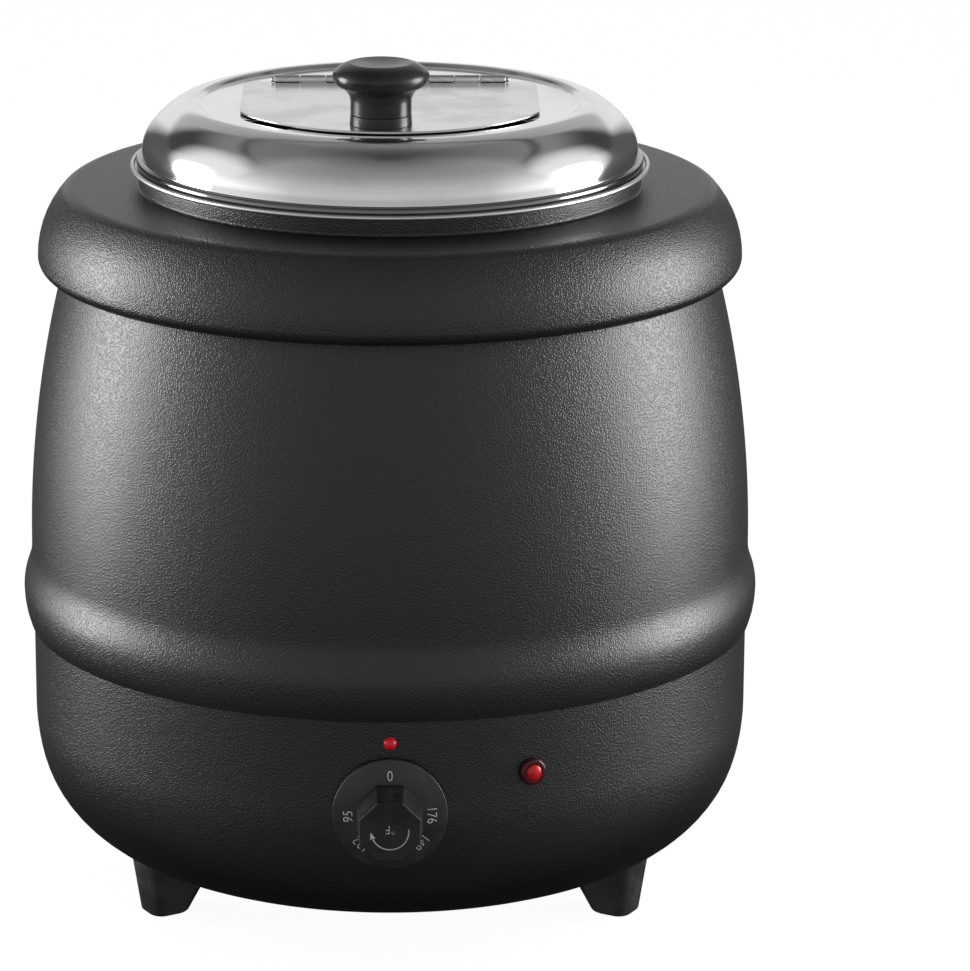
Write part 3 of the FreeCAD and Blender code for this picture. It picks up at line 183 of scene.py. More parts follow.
class Outline:
    """A line that grows in a mesh by straight runs, sharp turns and round bends, in metres and degrees."""

    def __init__(self, bm, start, heading, across=X, up=Z, base=Vector()):
        self.bm = bm
        self.across = across
        self.up = up
        self.heading = heading
        self.tip = bm.verts.new(base + across * start[0] + up * start[1])

    def along(self, turn=0.0):
        """Direction of travel, turned to the left by an angle."""
        way = math.radians(self.heading + turn)
        return self.across * math.cos(way) + self.up * math.sin(way)

    def reach(self):
        """How far out the tip is."""
        return self.tip.co.dot(self.across)

    def run(self, length):
        grown = bmesh.ops.extrude_vert_indiv(self.bm, verts=[self.tip])
        self.tip = grown["verts"][0]
        bmesh.ops.translate(self.bm, verts=[self.tip], vec=self.along() * length)
        return self

    def turn(self, degrees):
        self.heading += degrees
        return self

    def bend(self, radius, degrees):
        centre = self.tip.co + self.along(math.copysign(90.0, degrees)) * radius
        sweep = math.radians(degrees)
        steps = max(math.ceil(abs(degrees) / 7.0), math.ceil(radius * abs(sweep) / 0.005))
        spun = bmesh.ops.spin(self.bm, geom=[self.tip], cent=centre, axis=self.across.cross(self.up),
                              angle=sweep, steps=steps)
        self.tip = spun["geom_last"][0]
        return self.turn(degrees)

    def follow(self, moves):
        """Moves are a length and 0 for a run, 0 and degrees for a turn, a radius and degrees for a bend."""
        for length, degrees in moves:
            if degrees == 0:
                self.run(length)
            elif length == 0:
                self.turn(degrees)
            else:
                self.bend(length, degrees)
        return self


def face_out(bm):
    """Make all faces agree, with the one farthest from the kettle's axis facing away from it."""
    bmesh.ops.remove_doubles(bm, verts=bm.verts, dist=JOIN)
    bmesh.ops.recalc_face_normals(bm, faces=bm.faces)
    bm.normal_update()
    far = max(bm.faces, key=lambda face: face.calc_center_median().xy.length)
    if far.normal.xy.dot(far.calc_center_median().xy) < 0:
        bmesh.ops.reverse_faces(bm, faces=bm.faces)


def revolve(bm, steps=ROUND, place=None):
    """Spin everything drawn so far round the upright axis, then move it to its place."""
    bmesh.ops.spin(bm, geom=bm.verts[:] + bm.edges[:], cent=(0, 0, 0), axis=(0, 0, 1), angle=2 * math.pi,
                   steps=steps, use_merge=True)
    face_out(bm)
    if place is not None:
        bmesh.ops.transform(bm, matrix=place, verts=bm.verts)


def ends_of(edges):
    """Vertices at the ends of some edges."""
    return list({vert for edge in edges for vert in edge.verts})


def turned(degrees, axis):
    """Turn about an axis, as a matrix."""
    return Matrix.Rotation(math.radians(degrees), 4, axis)


def bar(bm, radius, length, place, segments=32):
    """Closed round bar in a mesh, along the local Z axis of its place."""
    bmesh.ops.create_cone(bm, cap_ends=True, segments=segments, radius1=radius, radius2=radius, depth=length,
                          matrix=place)


def block(bm, low, high):
    """Closed box in a mesh between two corners."""
    low = Vector(low)
    high = Vector(high)
    stretch = Matrix.Diagonal((*(high - low), 1))
    bmesh.ops.create_cube(bm, size=1.0, matrix=Matrix.Translation((low + high) / 2) @ stretch)


def raise_faces(bm, faces, rise):
    """Make flat faces a solid, and return the vertices on top."""
    raised = bmesh.ops.extrude_face_region(bm, geom=faces, use_keep_orig=True)
    lifted = [item for item in raised["geom"] if isinstance(item, bmesh.types.BMVert)]
    bmesh.ops.translate(bm, verts=lifted, vec=rise)
    bmesh.ops.recalc_face_normals(bm, faces=bm.faces)
    return lifted


def prism(bm, edges, rise):
    """Fill closed edges and raise the face to a solid."""
    return raise_faces(bm, bmesh.ops.contextual_create(bm, geom=edges)["faces"], rise)


def polygon(bm, corners, radius, rise, place=Matrix()):
    """Solid with a polygon for its base, and return the vertices on top."""
    ring = bmesh.ops.create_circle(bm, cap_ends=False, segments=corners, radius=radius, matrix=place)["verts"]
    return prism(bm, list({edge for vert in ring for edge in vert.link_edges}), rise)


def piece(name, bm, body, slot, *nodes):
    """Finished piece out of a mesh: it rides on a body and stands for the named CAD nodes."""
    for face in bm.faces:
        face.smooth = True
    mesh = bpy.data.meshes.new(name)
    bm.to_mesh(mesh)
    bm.free()
    mesh.materials.append(finish(slot))
    obj = bpy.data.objects.new(name, mesh)
    bpy.context.scene.collection.objects.link(obj)
    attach(obj, body)
    if nodes:
        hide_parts(*nodes)
    return obj


def thicken(obj, wall):
    """Give a sheet its wall, on the inner side."""
    solid = obj.modifiers.new("wall", "SOLIDIFY")
    solid.thickness = wall
    solid.offset = -1.0
    solid.use_even_offset = True
    return obj


def soften(obj, width, segments=3, limit=32.0):
    """Round the sharp edges of a piece."""
    bevel = obj.modifiers.new("edges", "BEVEL")
    bevel.width = width
    bevel.segments = segments
    bevel.limit_method = "ANGLE"
    bevel.angle_limit = math.radians(limit)
    bevel.harden_normals = True
    return obj


def shell(obj, wall, edge):
    """Sheet piece with its wall and softened edges."""
    return soften(thicken(obj, wall), edge)


# Materials

def add(tree, kind, inputs=None, **settings):
    """New node with its settings, its inputs given as constants or as sockets to link."""
    node = tree.nodes.new("ShaderNode" + kind)
    for name, value in settings.items():
        setattr(node, name, value)
    for key, value in (inputs or {}).items():
        if isinstance(value, bpy.types.NodeSocket):
            tree.links.new(value, node.inputs[key])
        else:
            node.inputs[key].default_value = value
    return node


def blend(tree, mask, low, high):
    """Colour that goes from low to high with a mask. Each is a colour or another node's socket."""
    mix = add(tree, "Mix", {"Factor": mask}, data_type="RGBA")
    for socket, tone in ((mix.inputs[6], low), (mix.inputs[7], high)):
        if isinstance(tone, bpy.types.NodeSocket):
            tree.links.new(tone, socket)
        else:
            socket.default_value = (*tone, 1)
    return mix.outputs[2]


def spread(tree, value, low, high, start=0.0, end=1.0):
    """Value moved from one range to another."""
    return add(tree, "MapRange", {"Value": value, "From Min": start, "From Max": end, "To Min": low,
                                  "To Max": high}, interpolation_type="SMOOTHSTEP").outputs["Result"]


def math_node(tree, operation, first, second=0.0):
    """Sum, product or other arithmetic of two values."""
    return add(tree, "Math", {0: first, 1: second}, operation=operation).outputs[0]


def new_group(name, inputs, outputs):
    """Empty node group with named inputs and outputs."""
    tree = bpy.data.node_groups.new(name, "ShaderNodeTree")
    for label, default in inputs:
        socket = tree.interface.new_socket(label, in_out="INPUT", socket_type="NodeSocketFloat")
        socket.default_value = default
    for label in outputs:
        tree.interface.new_socket(label, in_out="OUTPUT", socket_type="NodeSocketFloat")
    return tree, tree.nodes.new("NodeGroupInput"), tree.nodes.new("NodeGroupOutput")


def pebble_grain():
    """Small rounded grains of a textured coat: their height, and a mask of the grains' tops."""
    if "pebble_grain" in bpy.data.node_groups:
        return bpy.data.node_groups["pebble_grain"]
    tree, start, end = new_group("pebble_grain", [("Cells", 750.0), ("Waver", 0.0004)], ["Height", "Tops"])
    place = add(tree, "TexCoord").outputs["Object"]
    drift = add(tree, "TexNoise", {"Vector": place, "Scale": 420.0, "Detail": 1.0})
    centred = add(tree, "VectorMath", {0: drift.outputs["Color"], 1: (0.5, 0.5, 0.5)}, operation="SUBTRACT")
    waver = add(tree, "VectorMath", {0: centred.outputs[0], "Scale": start.outputs["Waver"]},
                operation="SCALE")
    moved = add(tree, "VectorMath", {0: place, 1: waver.outputs[0]}, operation="ADD")
    cells = add(tree, "TexVoronoi", {"Vector": moved.outputs[0], "Scale": start.outputs["Cells"],
                                     "Smoothness": 0.35}, feature="SMOOTH_F1")
    tops = spread(tree, cells.outputs["Distance"], 1.0, 0.0, 0.12, 0.62)
    fine = add(tree, "TexNoise", {"Vector": place, "Scale": 2600.0, "Detail": 2.0})
    fine_part = math_node(tree, "MULTIPLY", fine.outputs["Fac"], 0.25)
    height = math_node(tree, "ADD", tops, fine_part)
    tree.links.new(height, end.inputs["Height"])
    tree.links.new(tops, end.inputs["Tops"])
    return tree


def fine_mottle():
    """Uneven clouds with a finer speck on top, as handling and dust leave."""
    if "fine_mottle" in bpy.data.node_groups:
        return bpy.data.node_groups["fine_mottle"]
    tree, start, end = new_group("fine_mottle", [("Cloud", 35.0), ("Speck", 1400.0)], ["Cloud", "Speck"])
    place = add(tree, "TexCoord").outputs["Object"]
    cloud = add(tree, "TexNoise", {"Vector": place, "Scale": start.outputs["Cloud"], "Detail": 4.0,
                                   "Roughness": 0.55})
    speck = add(tree, "TexNoise", {"Vector": place, "Scale": start.outputs["Speck"], "Detail": 2.0})
    tree.links.new(spread(tree, cloud.outputs["Fac"], 0.0, 1.0, 0.35, 0.68), end.inputs["Cloud"])
    tree.links.new(spread(tree, speck.outputs["Fac"], 0.0, 1.0, 0.35, 0.65), end.inputs["Speck"])
    return tree


def turned_lines():
    """Fine lines round the upright axis, as turning and brushing leave on a spun sheet."""
    if "turned_lines" in bpy.data.node_groups:
        return bpy.data.node_groups["turned_lines"]
    tree, start, end = new_group("turned_lines", [("Lines", 900.0), ("Length", 2.5)], ["Lines", "Bands"])
    place = add(tree, "TexCoord").outputs["Object"]
    flat = add(tree, "VectorMath", {0: place, 1: (1, 1, 0)}, operation="MULTIPLY")
    way = add(tree, "VectorMath", {0: flat.outputs[0]}, operation="NORMALIZE")
    stretched = add(tree, "VectorMath", {0: way.outputs[0], "Scale": start.outputs["Length"]},
                    operation="SCALE")
    radius = add(tree, "VectorMath", {0: flat.outputs[0]}, operation="LENGTH")
    height = add(tree, "SeparateXYZ", {"Vector": place}).outputs["Z"]
    depth = math_node(tree, "ADD", radius.outputs["Value"], math_node(tree, "MULTIPLY", height, 1.31))
    across = math_node(tree, "MULTIPLY", depth, start.outputs["Lines"])
    lines = add(tree, "TexNoise", {"Vector": stretched.outputs[0], "W": across, "Scale": 1.0, "Detail": 3.0,
                                   "Roughness": 0.7}, noise_dimensions="4D")
    bands = add(tree, "TexNoise", {"Vector": stretched.outputs[0],
                                   "W": math_node(tree, "MULTIPLY", across, 0.08), "Scale": 0.6,
                                   "Detail": 2.0}, noise_dimensions="4D")
    tree.links.new(spread(tree, lines.outputs["Fac"], 0.0, 1.0, 0.3, 0.7), end.inputs["Lines"])
    tree.links.new(spread(tree, bands.outputs["Fac"], 0.0, 1.0, 0.35, 0.65), end.inputs["Bands"])
    return tree


def blank(name, **constants):
    """New material with a bare shader; the constants go on its sockets, with spaces for underscores."""
    material = bpy.data.materials.new(name)
    material.use_nodes = True
    tree = material.node_tree
    shader = tree.nodes["Principled BSDF"]
    for key, value in constants.items():
        shader.inputs[key.replace("_", " ")].default_value = value
    return material, tree, shader


def bumped(tree, shader, height, strength, distance):
    """Raise a surface by a height."""
    bump = add(tree, "Bump", {"Strength": strength, "Distance": distance, "Height": height})
    tree.links.new(bump.outputs["Normal"], shader.inputs["Normal"])


def coat_finish(name):
    """Black textured coat of the casing."""
    tones = bpy.context.scene.kettle_casing
    material, tree, shader = blank(name, Specular_IOR_Level=0.64)
    grain = add(tree, "Group", {"Cells": 1150.0, "Waver": 0.0006}, node_tree=pebble_grain())
    mottle = add(tree, "Group", {"Cloud": 22.0, "Speck": 900.0}, node_tree=fine_mottle())
    tone = math_node(tree, "MULTIPLY", grain.outputs["Tops"], mottle.outputs["Cloud"])
    tree.links.new(blend(tree, tone, tones.coat, tones.coat_worn), shader.inputs["Base Color"])
    tree.links.new(spread(tree, grain.outputs["Tops"], 0.38, 0.29), shader.inputs["Roughness"])
    bumped(tree, shader, grain.outputs["Height"], 0.9, 0.00011)
    return material


def polished_finish(name):
    """Polished steel of the lid, with faint turning lines and smudges, and painted shade on its bead: a dark
    colour there stands in for shade and a dark reflection.
    """
    tones = bpy.context.scene.kettle_lid
    material, tree, shader = blank(name, Metallic=1.0)
    lines = add(tree, "Group", {"Lines": 1500.0, "Length": 3.0}, node_tree=turned_lines())
    mottle = add(tree, "Group", {"Cloud": 30.0, "Speck": 1500.0}, node_tree=fine_mottle())
    dull = math_node(tree, "MULTIPLY", mottle.outputs["Cloud"], lines.outputs["Bands"])
    shine = blend(tree, dull, tones.steel, tones.steel_smudge)
    place = add(tree, "SeparateXYZ", {"Vector": add(tree, "TexCoord").outputs["Object"]})
    # Painted shade: below the bead's top the lid takes the dark bead colour, fading to the polished colour
    # within 0.6 mm above it
    bead_top = tones.bead_height + tones.bead_radius
    polish = spread(tree, place.outputs["Z"], 0.0, 1.0, bead_top, bead_top + 0.0006)
    tree.links.new(blend(tree, polish, tones.bead_painted_shade, shine), shader.inputs["Base Color"])
    tree.links.new(spread(tree, dull, 0.1, 0.18), shader.inputs["Roughness"])
    bumped(tree, shader, lines.outputs["Lines"], 0.12, 0.00001)
    return material


def flap_finish(name):
    """Steel of the flap, greyer and duller than the lid round it."""
    tones = bpy.context.scene.kettle_lid
    material, tree, shader = blank(name, Metallic=1.0)
    mottle = add(tree, "Group", {"Cloud": 45.0, "Speck": 1900.0}, node_tree=fine_mottle())
    tree.links.new(blend(tree, mottle.outputs["Cloud"], tones.flap_steel, tones.steel_smudge),
                   shader.inputs["Base Color"])
    tree.links.new(spread(tree, mottle.outputs["Cloud"], 0.2, 0.27), shader.inputs["Roughness"])
    bumped(tree, shader, mottle.outputs["Speck"], 0.1, 0.00001)
    return material


def satin_finish(name):
    """Brushed steel of the pot, the tank and the hinge."""
    tones = bpy.context.scene.kettle_vessels
    material, tree, shader = blank(name, Metallic=1.0)
    lines = add(tree, "Group", {"Lines": 1100.0, "Length": 2.0}, node_tree=turned_lines())
    mottle = add(tree, "Group", {"Cloud": 18.0, "Speck": 1200.0}, node_tree=fine_mottle())
    tree.links.new(blend(tree, lines.outputs["Lines"], tones.satin_dark, tones.satin),
                   shader.inputs["Base Color"])
    rough = math_node(tree, "ADD", spread(tree, lines.outputs["Lines"], 0.36, 0.26),
                      math_node(tree, "MULTIPLY", mottle.outputs["Cloud"], 0.06))
    tree.links.new(rough, shader.inputs["Roughness"])
    bumped(tree, shader, lines.outputs["Lines"], 0.25, 0.00002)
    return material


def metal_finish(name, light, dark, smooth, dull):
    """Plain metal of the inner pieces: clouded tone and a fine rolled surface."""
    material, tree, shader = blank(name, Metallic=1.0)
    mottle = add(tree, "Group", {"Cloud": 90.0, "Speck": 1800.0}, node_tree=fine_mottle())
    tree.links.new(blend(tree, mottle.outputs["Cloud"], light, dark), shader.inputs["Base Color"])
    tree.links.new(spread(tree, mottle.outputs["Cloud"], smooth, dull), shader.inputs["Roughness"])
    bumped(tree, shader, mottle.outputs["Speck"], 0.2, 0.00002)
    return material


def moulded_finish(name, light, dark, smooth, dull, relief, **constants):
    """Moulded plastic, rubber or ceramic: clouded tone, uneven gloss and a fine skin."""
    material, tree, shader = blank(name, **constants)
    mottle = add(tree, "Group", {"Cloud": 60.0, "Speck": 2200.0}, node_tree=fine_mottle())
    tree.links.new(blend(tree, mottle.outputs["Cloud"], light, dark), shader.inputs["Base Color"])
    tree.links.new(spread(tree, mottle.outputs["Cloud"], smooth, dull), shader.inputs["Roughness"])
    bumped(tree, shader, mottle.outputs["Speck"], relief, 0.00003)
    return material


def lamp_finish(name):
    """Red lens, with fine slanting ridges in the power lamp to the right and none in the pilot lamp."""
    tones = bpy.context.scene.kettle_controls
    material, tree, shader = blank(name, Coat_Weight=0.2, Coat_Roughness=0.12, Specular_IOR_Level=0.3)
    place = add(tree, "TexCoord").outputs["Object"]
    slanted = add(tree, "Mapping", {"Vector": place, "Rotation": (0.0, math.radians(28.0), 0.0)})
    ridges = add(tree, "TexWave", {"Vector": slanted.outputs["Vector"], "Scale": 300.0, "Distortion": 0.1},
                 wave_type="BANDS", bands_direction="X")
    across = add(tree, "SeparateXYZ", {"Vector": place}).outputs["X"]
    plain = spread(tree, across, 1.0, 0.0, 0.02, 0.04)
    mask = math_node(tree, "MAXIMUM", spread(tree, ridges.outputs["Fac"], 0.0, 1.0, 0.25, 0.65), plain)
    tree.links.new(blend(tree, mask, tones.lamp_deep, tones.lamp), shader.inputs["Base Color"])
    tree.links.new(spread(tree, mask, 0.3, 0.2), shader.inputs["Roughness"])
    bumped(tree, shader, mask, 0.2, 0.00005)
    return material


def sleeve_finish(name):
    """Woven sleeve of the wires."""
    material, tree, shader = blank(name)
    place = add(tree, "TexCoord").outputs["Object"]
    weave = add(tree, "TexVoronoi", {"Vector": place, "Scale": 1600.0}, feature="F1")
    mask = spread(tree, weave.outputs["Distance"], 1.0, 0.0, 0.1, 0.7)
    tree.links.new(blend(tree, mask, (0.42, 0.38, 0.30), (0.72, 0.68, 0.58)), shader.inputs["Base Color"])
    tree.links.new(spread(tree, mask, 0.8, 0.6), shader.inputs["Roughness"])
    bumped(tree, shader, mask, 0.5, 0.0001)
    return material


def finish(slot):
    """Material of a slot, made the first time that it is asked for."""
    name = slot + "_finish"
    if name in bpy.data.materials:
        return bpy.data.materials[name]
    lid = bpy.context.scene.kettle_lid
    controls = bpy.context.scene.kettle_controls
    special = {"casing_coat": coat_finish, "polished_steel": polished_finish, "flap_steel": flap_finish,
               "satin_steel": satin_finish, "lamp_red": lamp_finish, "wire_sleeve": sleeve_finish}
    if slot in special:
        return special[slot](name)
    # light tone, dark tone, roughness where smooth, roughness where dull
    metals = {
        "plated_steel": ((0.62, 0.62, 0.60), (0.45, 0.45, 0.46), 0.25, 0.4),
        "heater_sheath": ((0.22, 0.20, 0.19), (0.12, 0.10, 0.10), 0.4, 0.6),
        "spreader_aluminium": ((0.70, 0.70, 0.71), (0.58, 0.58, 0.60), 0.3, 0.45),
        "capillary_copper": ((0.72, 0.38, 0.22), (0.45, 0.22, 0.13), 0.25, 0.45),
    }
    if slot in metals:
        return metal_finish(name, *metals[slot])
    # the same, then the strength of the relief
    moulded = {
        "figures": (controls.figures, controls.figures_worn, 0.45, 0.6, 0.1),
        "knob_plastic": (lid.knob, lid.knob_haze, 0.24, 0.34, 0.06),
        "trim_plastic": (controls.trim, controls.trim_dust, 0.34, 0.46, 0.25),
        "grip_plastic": (controls.grip, controls.trim, 0.34, 0.44, 0.2),
        "bezel_plastic": (controls.bezel, [tone * 0.6 for tone in controls.bezel], 0.2, 0.3, 0.1),
        "seal_rubber": ((0.012, 0.012, 0.012), (0.03, 0.03, 0.03), 0.6, 0.8, 0.4),
        "block_ceramic": ((0.72, 0.70, 0.64), (0.60, 0.57, 0.50), 0.55, 0.7, 0.3),
    }
    gloss = {
        "knob_plastic": {"Coat_Weight": 0.12, "Coat_Roughness": 0.12, "Specular_IOR_Level": 0.4},
        "grip_plastic": {"Specular_IOR_Level": 0.42},
        "bezel_plastic": {"Coat_Weight": 0.1, "Coat_Roughness": 0.1, "Specular_IOR_Level": 0.3},
    }
    return moulded_finish(name, *moulded[slot], **gloss.get(slot, {}))


# Pieces

class KETTLE_OT_casing(bpy.types.Operator):
    """Black bowl, barrel and top ring"""
    bl_idname = "kettle.casing"
    bl_label = "Casing"

    def execute(self, context):
        sizes = context.scene.kettle_casing
        cone = math.radians(BOWL_CONE)
        hole, floor_bend = 0.084, 0.008
        heel, flank, flank_turn = 0.056, 0.098, 14.0
        bm = bmesh.new()
        bowl = Outline(bm, (hole, sizes.bowl_floor), 0.0)
        bowl.run(BOWL_EDGE - floor_bend * math.tan(cone / 2) - hole).bend(floor_bend, BOWL_CONE)
        upright = math.cos(math.radians(flank_turn))
        swing = heel * (upright - math.sin(cone)) + flank * (1.0 - upright)
        bowl.run((sizes.bowl_radius - bowl.reach() - swing) / math.cos(cone))
        bowl.bend(heel, 90.0 - BOWL_CONE - flank_turn).bend(flank, flank_turn)
        bowl.run(sizes.bowl_rim - bowl.tip.co.z)
        revolve(bm)
        shell(piece("bowl_shell", bm, "housing", "casing_coat", "base_bowl"), sizes.wall, 0.0003)

        hem, lip_slope = 0.00045, 19.28         # the hem's radius is also the wall, so the lip is solid
        belt, crest, crest_turn = 0.04453, 0.026617, 22.07
        side, side_turn, flange_bend, flange_hole = 0.515, 18.512, 0.003, 0.117
        inward = hem * (1.0 + math.cos(math.radians(lip_slope)))
        upward = hem * math.sin(math.radians(lip_slope))
        bm = bmesh.new()
        barrel = Outline(bm, (sizes.lip_radius - inward, sizes.lip_height + upward), -90.0)
        barrel.bend(hem, 180.0 - lip_slope).bend(belt, lip_slope).bend(crest, crest_turn)
        barrel.bend(crest, -crest_turn).bend(side, side_turn).bend(flange_bend, 90.0 - side_turn)
        barrel.run(barrel.reach() - flange_hole)
        revolve(bm)
        shell(piece("barrel_shell", bm, "housing", "casing_coat", "barrel_casing"), hem, 0.0003)

        skirt_hole, edge, fillet, collar = 0.14999, 0.006, 0.0015, 0.0064
        shoulder, shoulder_turn, top_bend = 0.0438, 42.0, 0.008
        bm = bmesh.new()
        ring = Outline(bm, (skirt_hole, sizes.ring_skirt), 0.0)
        ring.run(sizes.ring_radius - edge - skirt_hole).bend(edge, 90.0)
        ring.bend(shoulder, shoulder_turn).bend(top_bend, 90.0 - shoulder_turn)
        ring.run(ring.reach() - sizes.collar_radius - fillet).bend(fillet, -90.0).run(collar)
        revolve(bm)
        shell(piece("ring_shell", bm, "housing", "casing_coat", "top_ring"), sizes.wall, 0.0003)
        return {"FINISHED"}


class KETTLE_OT_vessels(bpy.types.Operator):
    """Lift-out soup pot and the water tank round it"""
    bl_idname = "kettle.vessels"
    bl_label = "Pot and tank"

    def execute(self, context):
        sizes = context.scene.kettle_vessels
        heel, rim_bend, rim_circle, rim = 0.025, 0.002, 0.1173, 0.001
        bm = bmesh.new()
        pot = Outline(bm, (0.0, sizes.pot_bottom), 0.0)
        pot.run(sizes.pot_radius - heel).bend(heel, 90.0)
        pot.run(sizes.pot_flange - rim_bend - pot.tip.co.z).bend(rim_bend, -90.0)
        pot.run(rim_circle - pot.reach()).bend(rim, 265.0)
        revolve(bm)
        shell(piece("pot_shell", bm, "soup_pot", "satin_steel", "soup_pot"), sizes.wall, 0.0002)

        heel, flange_bend, flange = 0.014, 0.003, 0.131
        bm = bmesh.new()
        tank = Outline(bm, (0.0, sizes.tank_bottom), 0.0)
        tank.run(sizes.tank_radius - heel).bend(heel, 90.0)
        tank.run(sizes.tank_flange - flange_bend - tank.tip.co.z).bend(flange_bend, -90.0)
        tank.run(flange - tank.reach())
        revolve(bm)
        shell(piece("tank_shell", bm, "housing", "satin_steel", "water_tank"), sizes.wall, 0.0002)
        return {"FINISHED"}


class KETTLE_OT_lid(bpy.types.Operator):
    """Domed lid with its bead, its opening and its half of the hinge"""
    bl_idname = "kettle.lid"
    bl_label = "Lid"

    def execute(self, context):
        sizes = context.scene.kettle_lid
        bead, neck, neck_turn = sizes.bead_radius, 0.0006, 92.3
        straight_side = 0.0046          # of the lid's side, above the bead's middle
        shoulder = ((0.017, 38.0), (0.042, 19.0), (0.0185, 33.0))       # radius and turn, from the side up
        step, step_turn, step_run, floor_run = 0.003, 40.0, 0.000928, 0.0008
        bm = bmesh.new()
        dome = Outline(bm, (sizes.bead_circle - bead, sizes.bead_height), -90.0)
        dome.bend(bead, 180.0 + neck_turn).bend(neck, -neck_turn)
        dome.run(sizes.bead_height + straight_side - dome.tip.co.z).follow(shoulder)
        dome.bend(step, step_turn).run(step_run).bend(step, -step_turn).run(floor_run)
        revolve(bm)
        floor = Vector((0, 0, sizes.floor_height))
        rim = [edge for edge in bm.edges if edge.is_boundary and edge.verts[0].co.z > floor.z - 0.001]
        bmesh.ops.scale(bm, vec=(1, 1, 0), space=Matrix.Translation(-floor), verts=ends_of(rim))
        mouth = sizes.mouth_radius
        notch, notch_start, notch_turn = sizes.notch_radius - mouth, 37.0, 22.0
        side, side_end, slot, slot_deep = 0.060, 0.036, 0.0538, 0.0085
        corner = math.degrees(math.asin(side / mouth))
        straight = side_end + math.sqrt(mouth ** 2 - side ** 2)
        half = [(mouth, notch_start), (0, -90.0), (notch, 0), (0, 90.0), (mouth + notch, notch_turn),
                (0, 90.0), (notch, 0), (0, -90.0), (mouth, corner - notch_start - notch_turn),
                (0, 90.0 - corner), (straight, 0), (0, 90.0), (side - slot, 0), (0, -90.0), (slot_deep, 0),
                (0, 90.0), (slot, 0)]
        Outline(bm, (0.0, -mouth), 0.0, X, Y, floor).follow(half + half[::-1])
        lip = [edge for edge in bm.edges if edge.is_wire]
        bmesh.ops.remove_doubles(bm, verts=ends_of(lip), dist=JOIN)
        lip = [edge for edge in bm.edges if edge.is_wire]
        bmesh.ops.triangle_fill(bm, use_beauty=True, edges=rim + lip, normal=Z)
        face_out(bm)
        shell(piece("lid_shell", bm, "lid", "polished_steel", "lid_cover"), sizes.wall, 0.0002)

        y, z, radius = sizes.hinge_y, sizes.hinge_height, sizes.knuckle_radius
        leaf, leaf_end, pin, pin_heads = 0.0009, 0.013, 0.0012, 0.0032
        under = sizes.floor_height - sizes.wall
        half_length = sizes.hinge_length / 2
        pitch = sizes.hinge_length / KNUCKLES
        low = Vector((0, y + radius - leaf, under - leaf))
        along_x = turned(90.0, "Y")
        bm = bmesh.new()
        block(bm, low - X * half_length, (half_length, y + leaf_end, under))
        for i in range(0, KNUCKLES, 2):
            start = -half_length + i * pitch + KNUCKLE_GAP
            long = pitch - 2 * KNUCKLE_GAP
            block(bm, low + X * start, (start + long, y + radius, z))
            bar(bm, radius, long, Matrix.Translation((start + long / 2, y, z)) @ along_x)
        soften(piece("lid_knuckles", bm, "lid", "satin_steel", "lid_hinge_leaf"), 0.00025)
        bm = bmesh.new()
        bar(bm, pin, sizes.hinge_length + pin_heads, Matrix.Translation((0, y, z)) @ along_x)
        soften(piece("hinge_rod", bm, "lid", "satin_steel", "hinge_pin"), 0.0004)
        return {"FINISHED"}


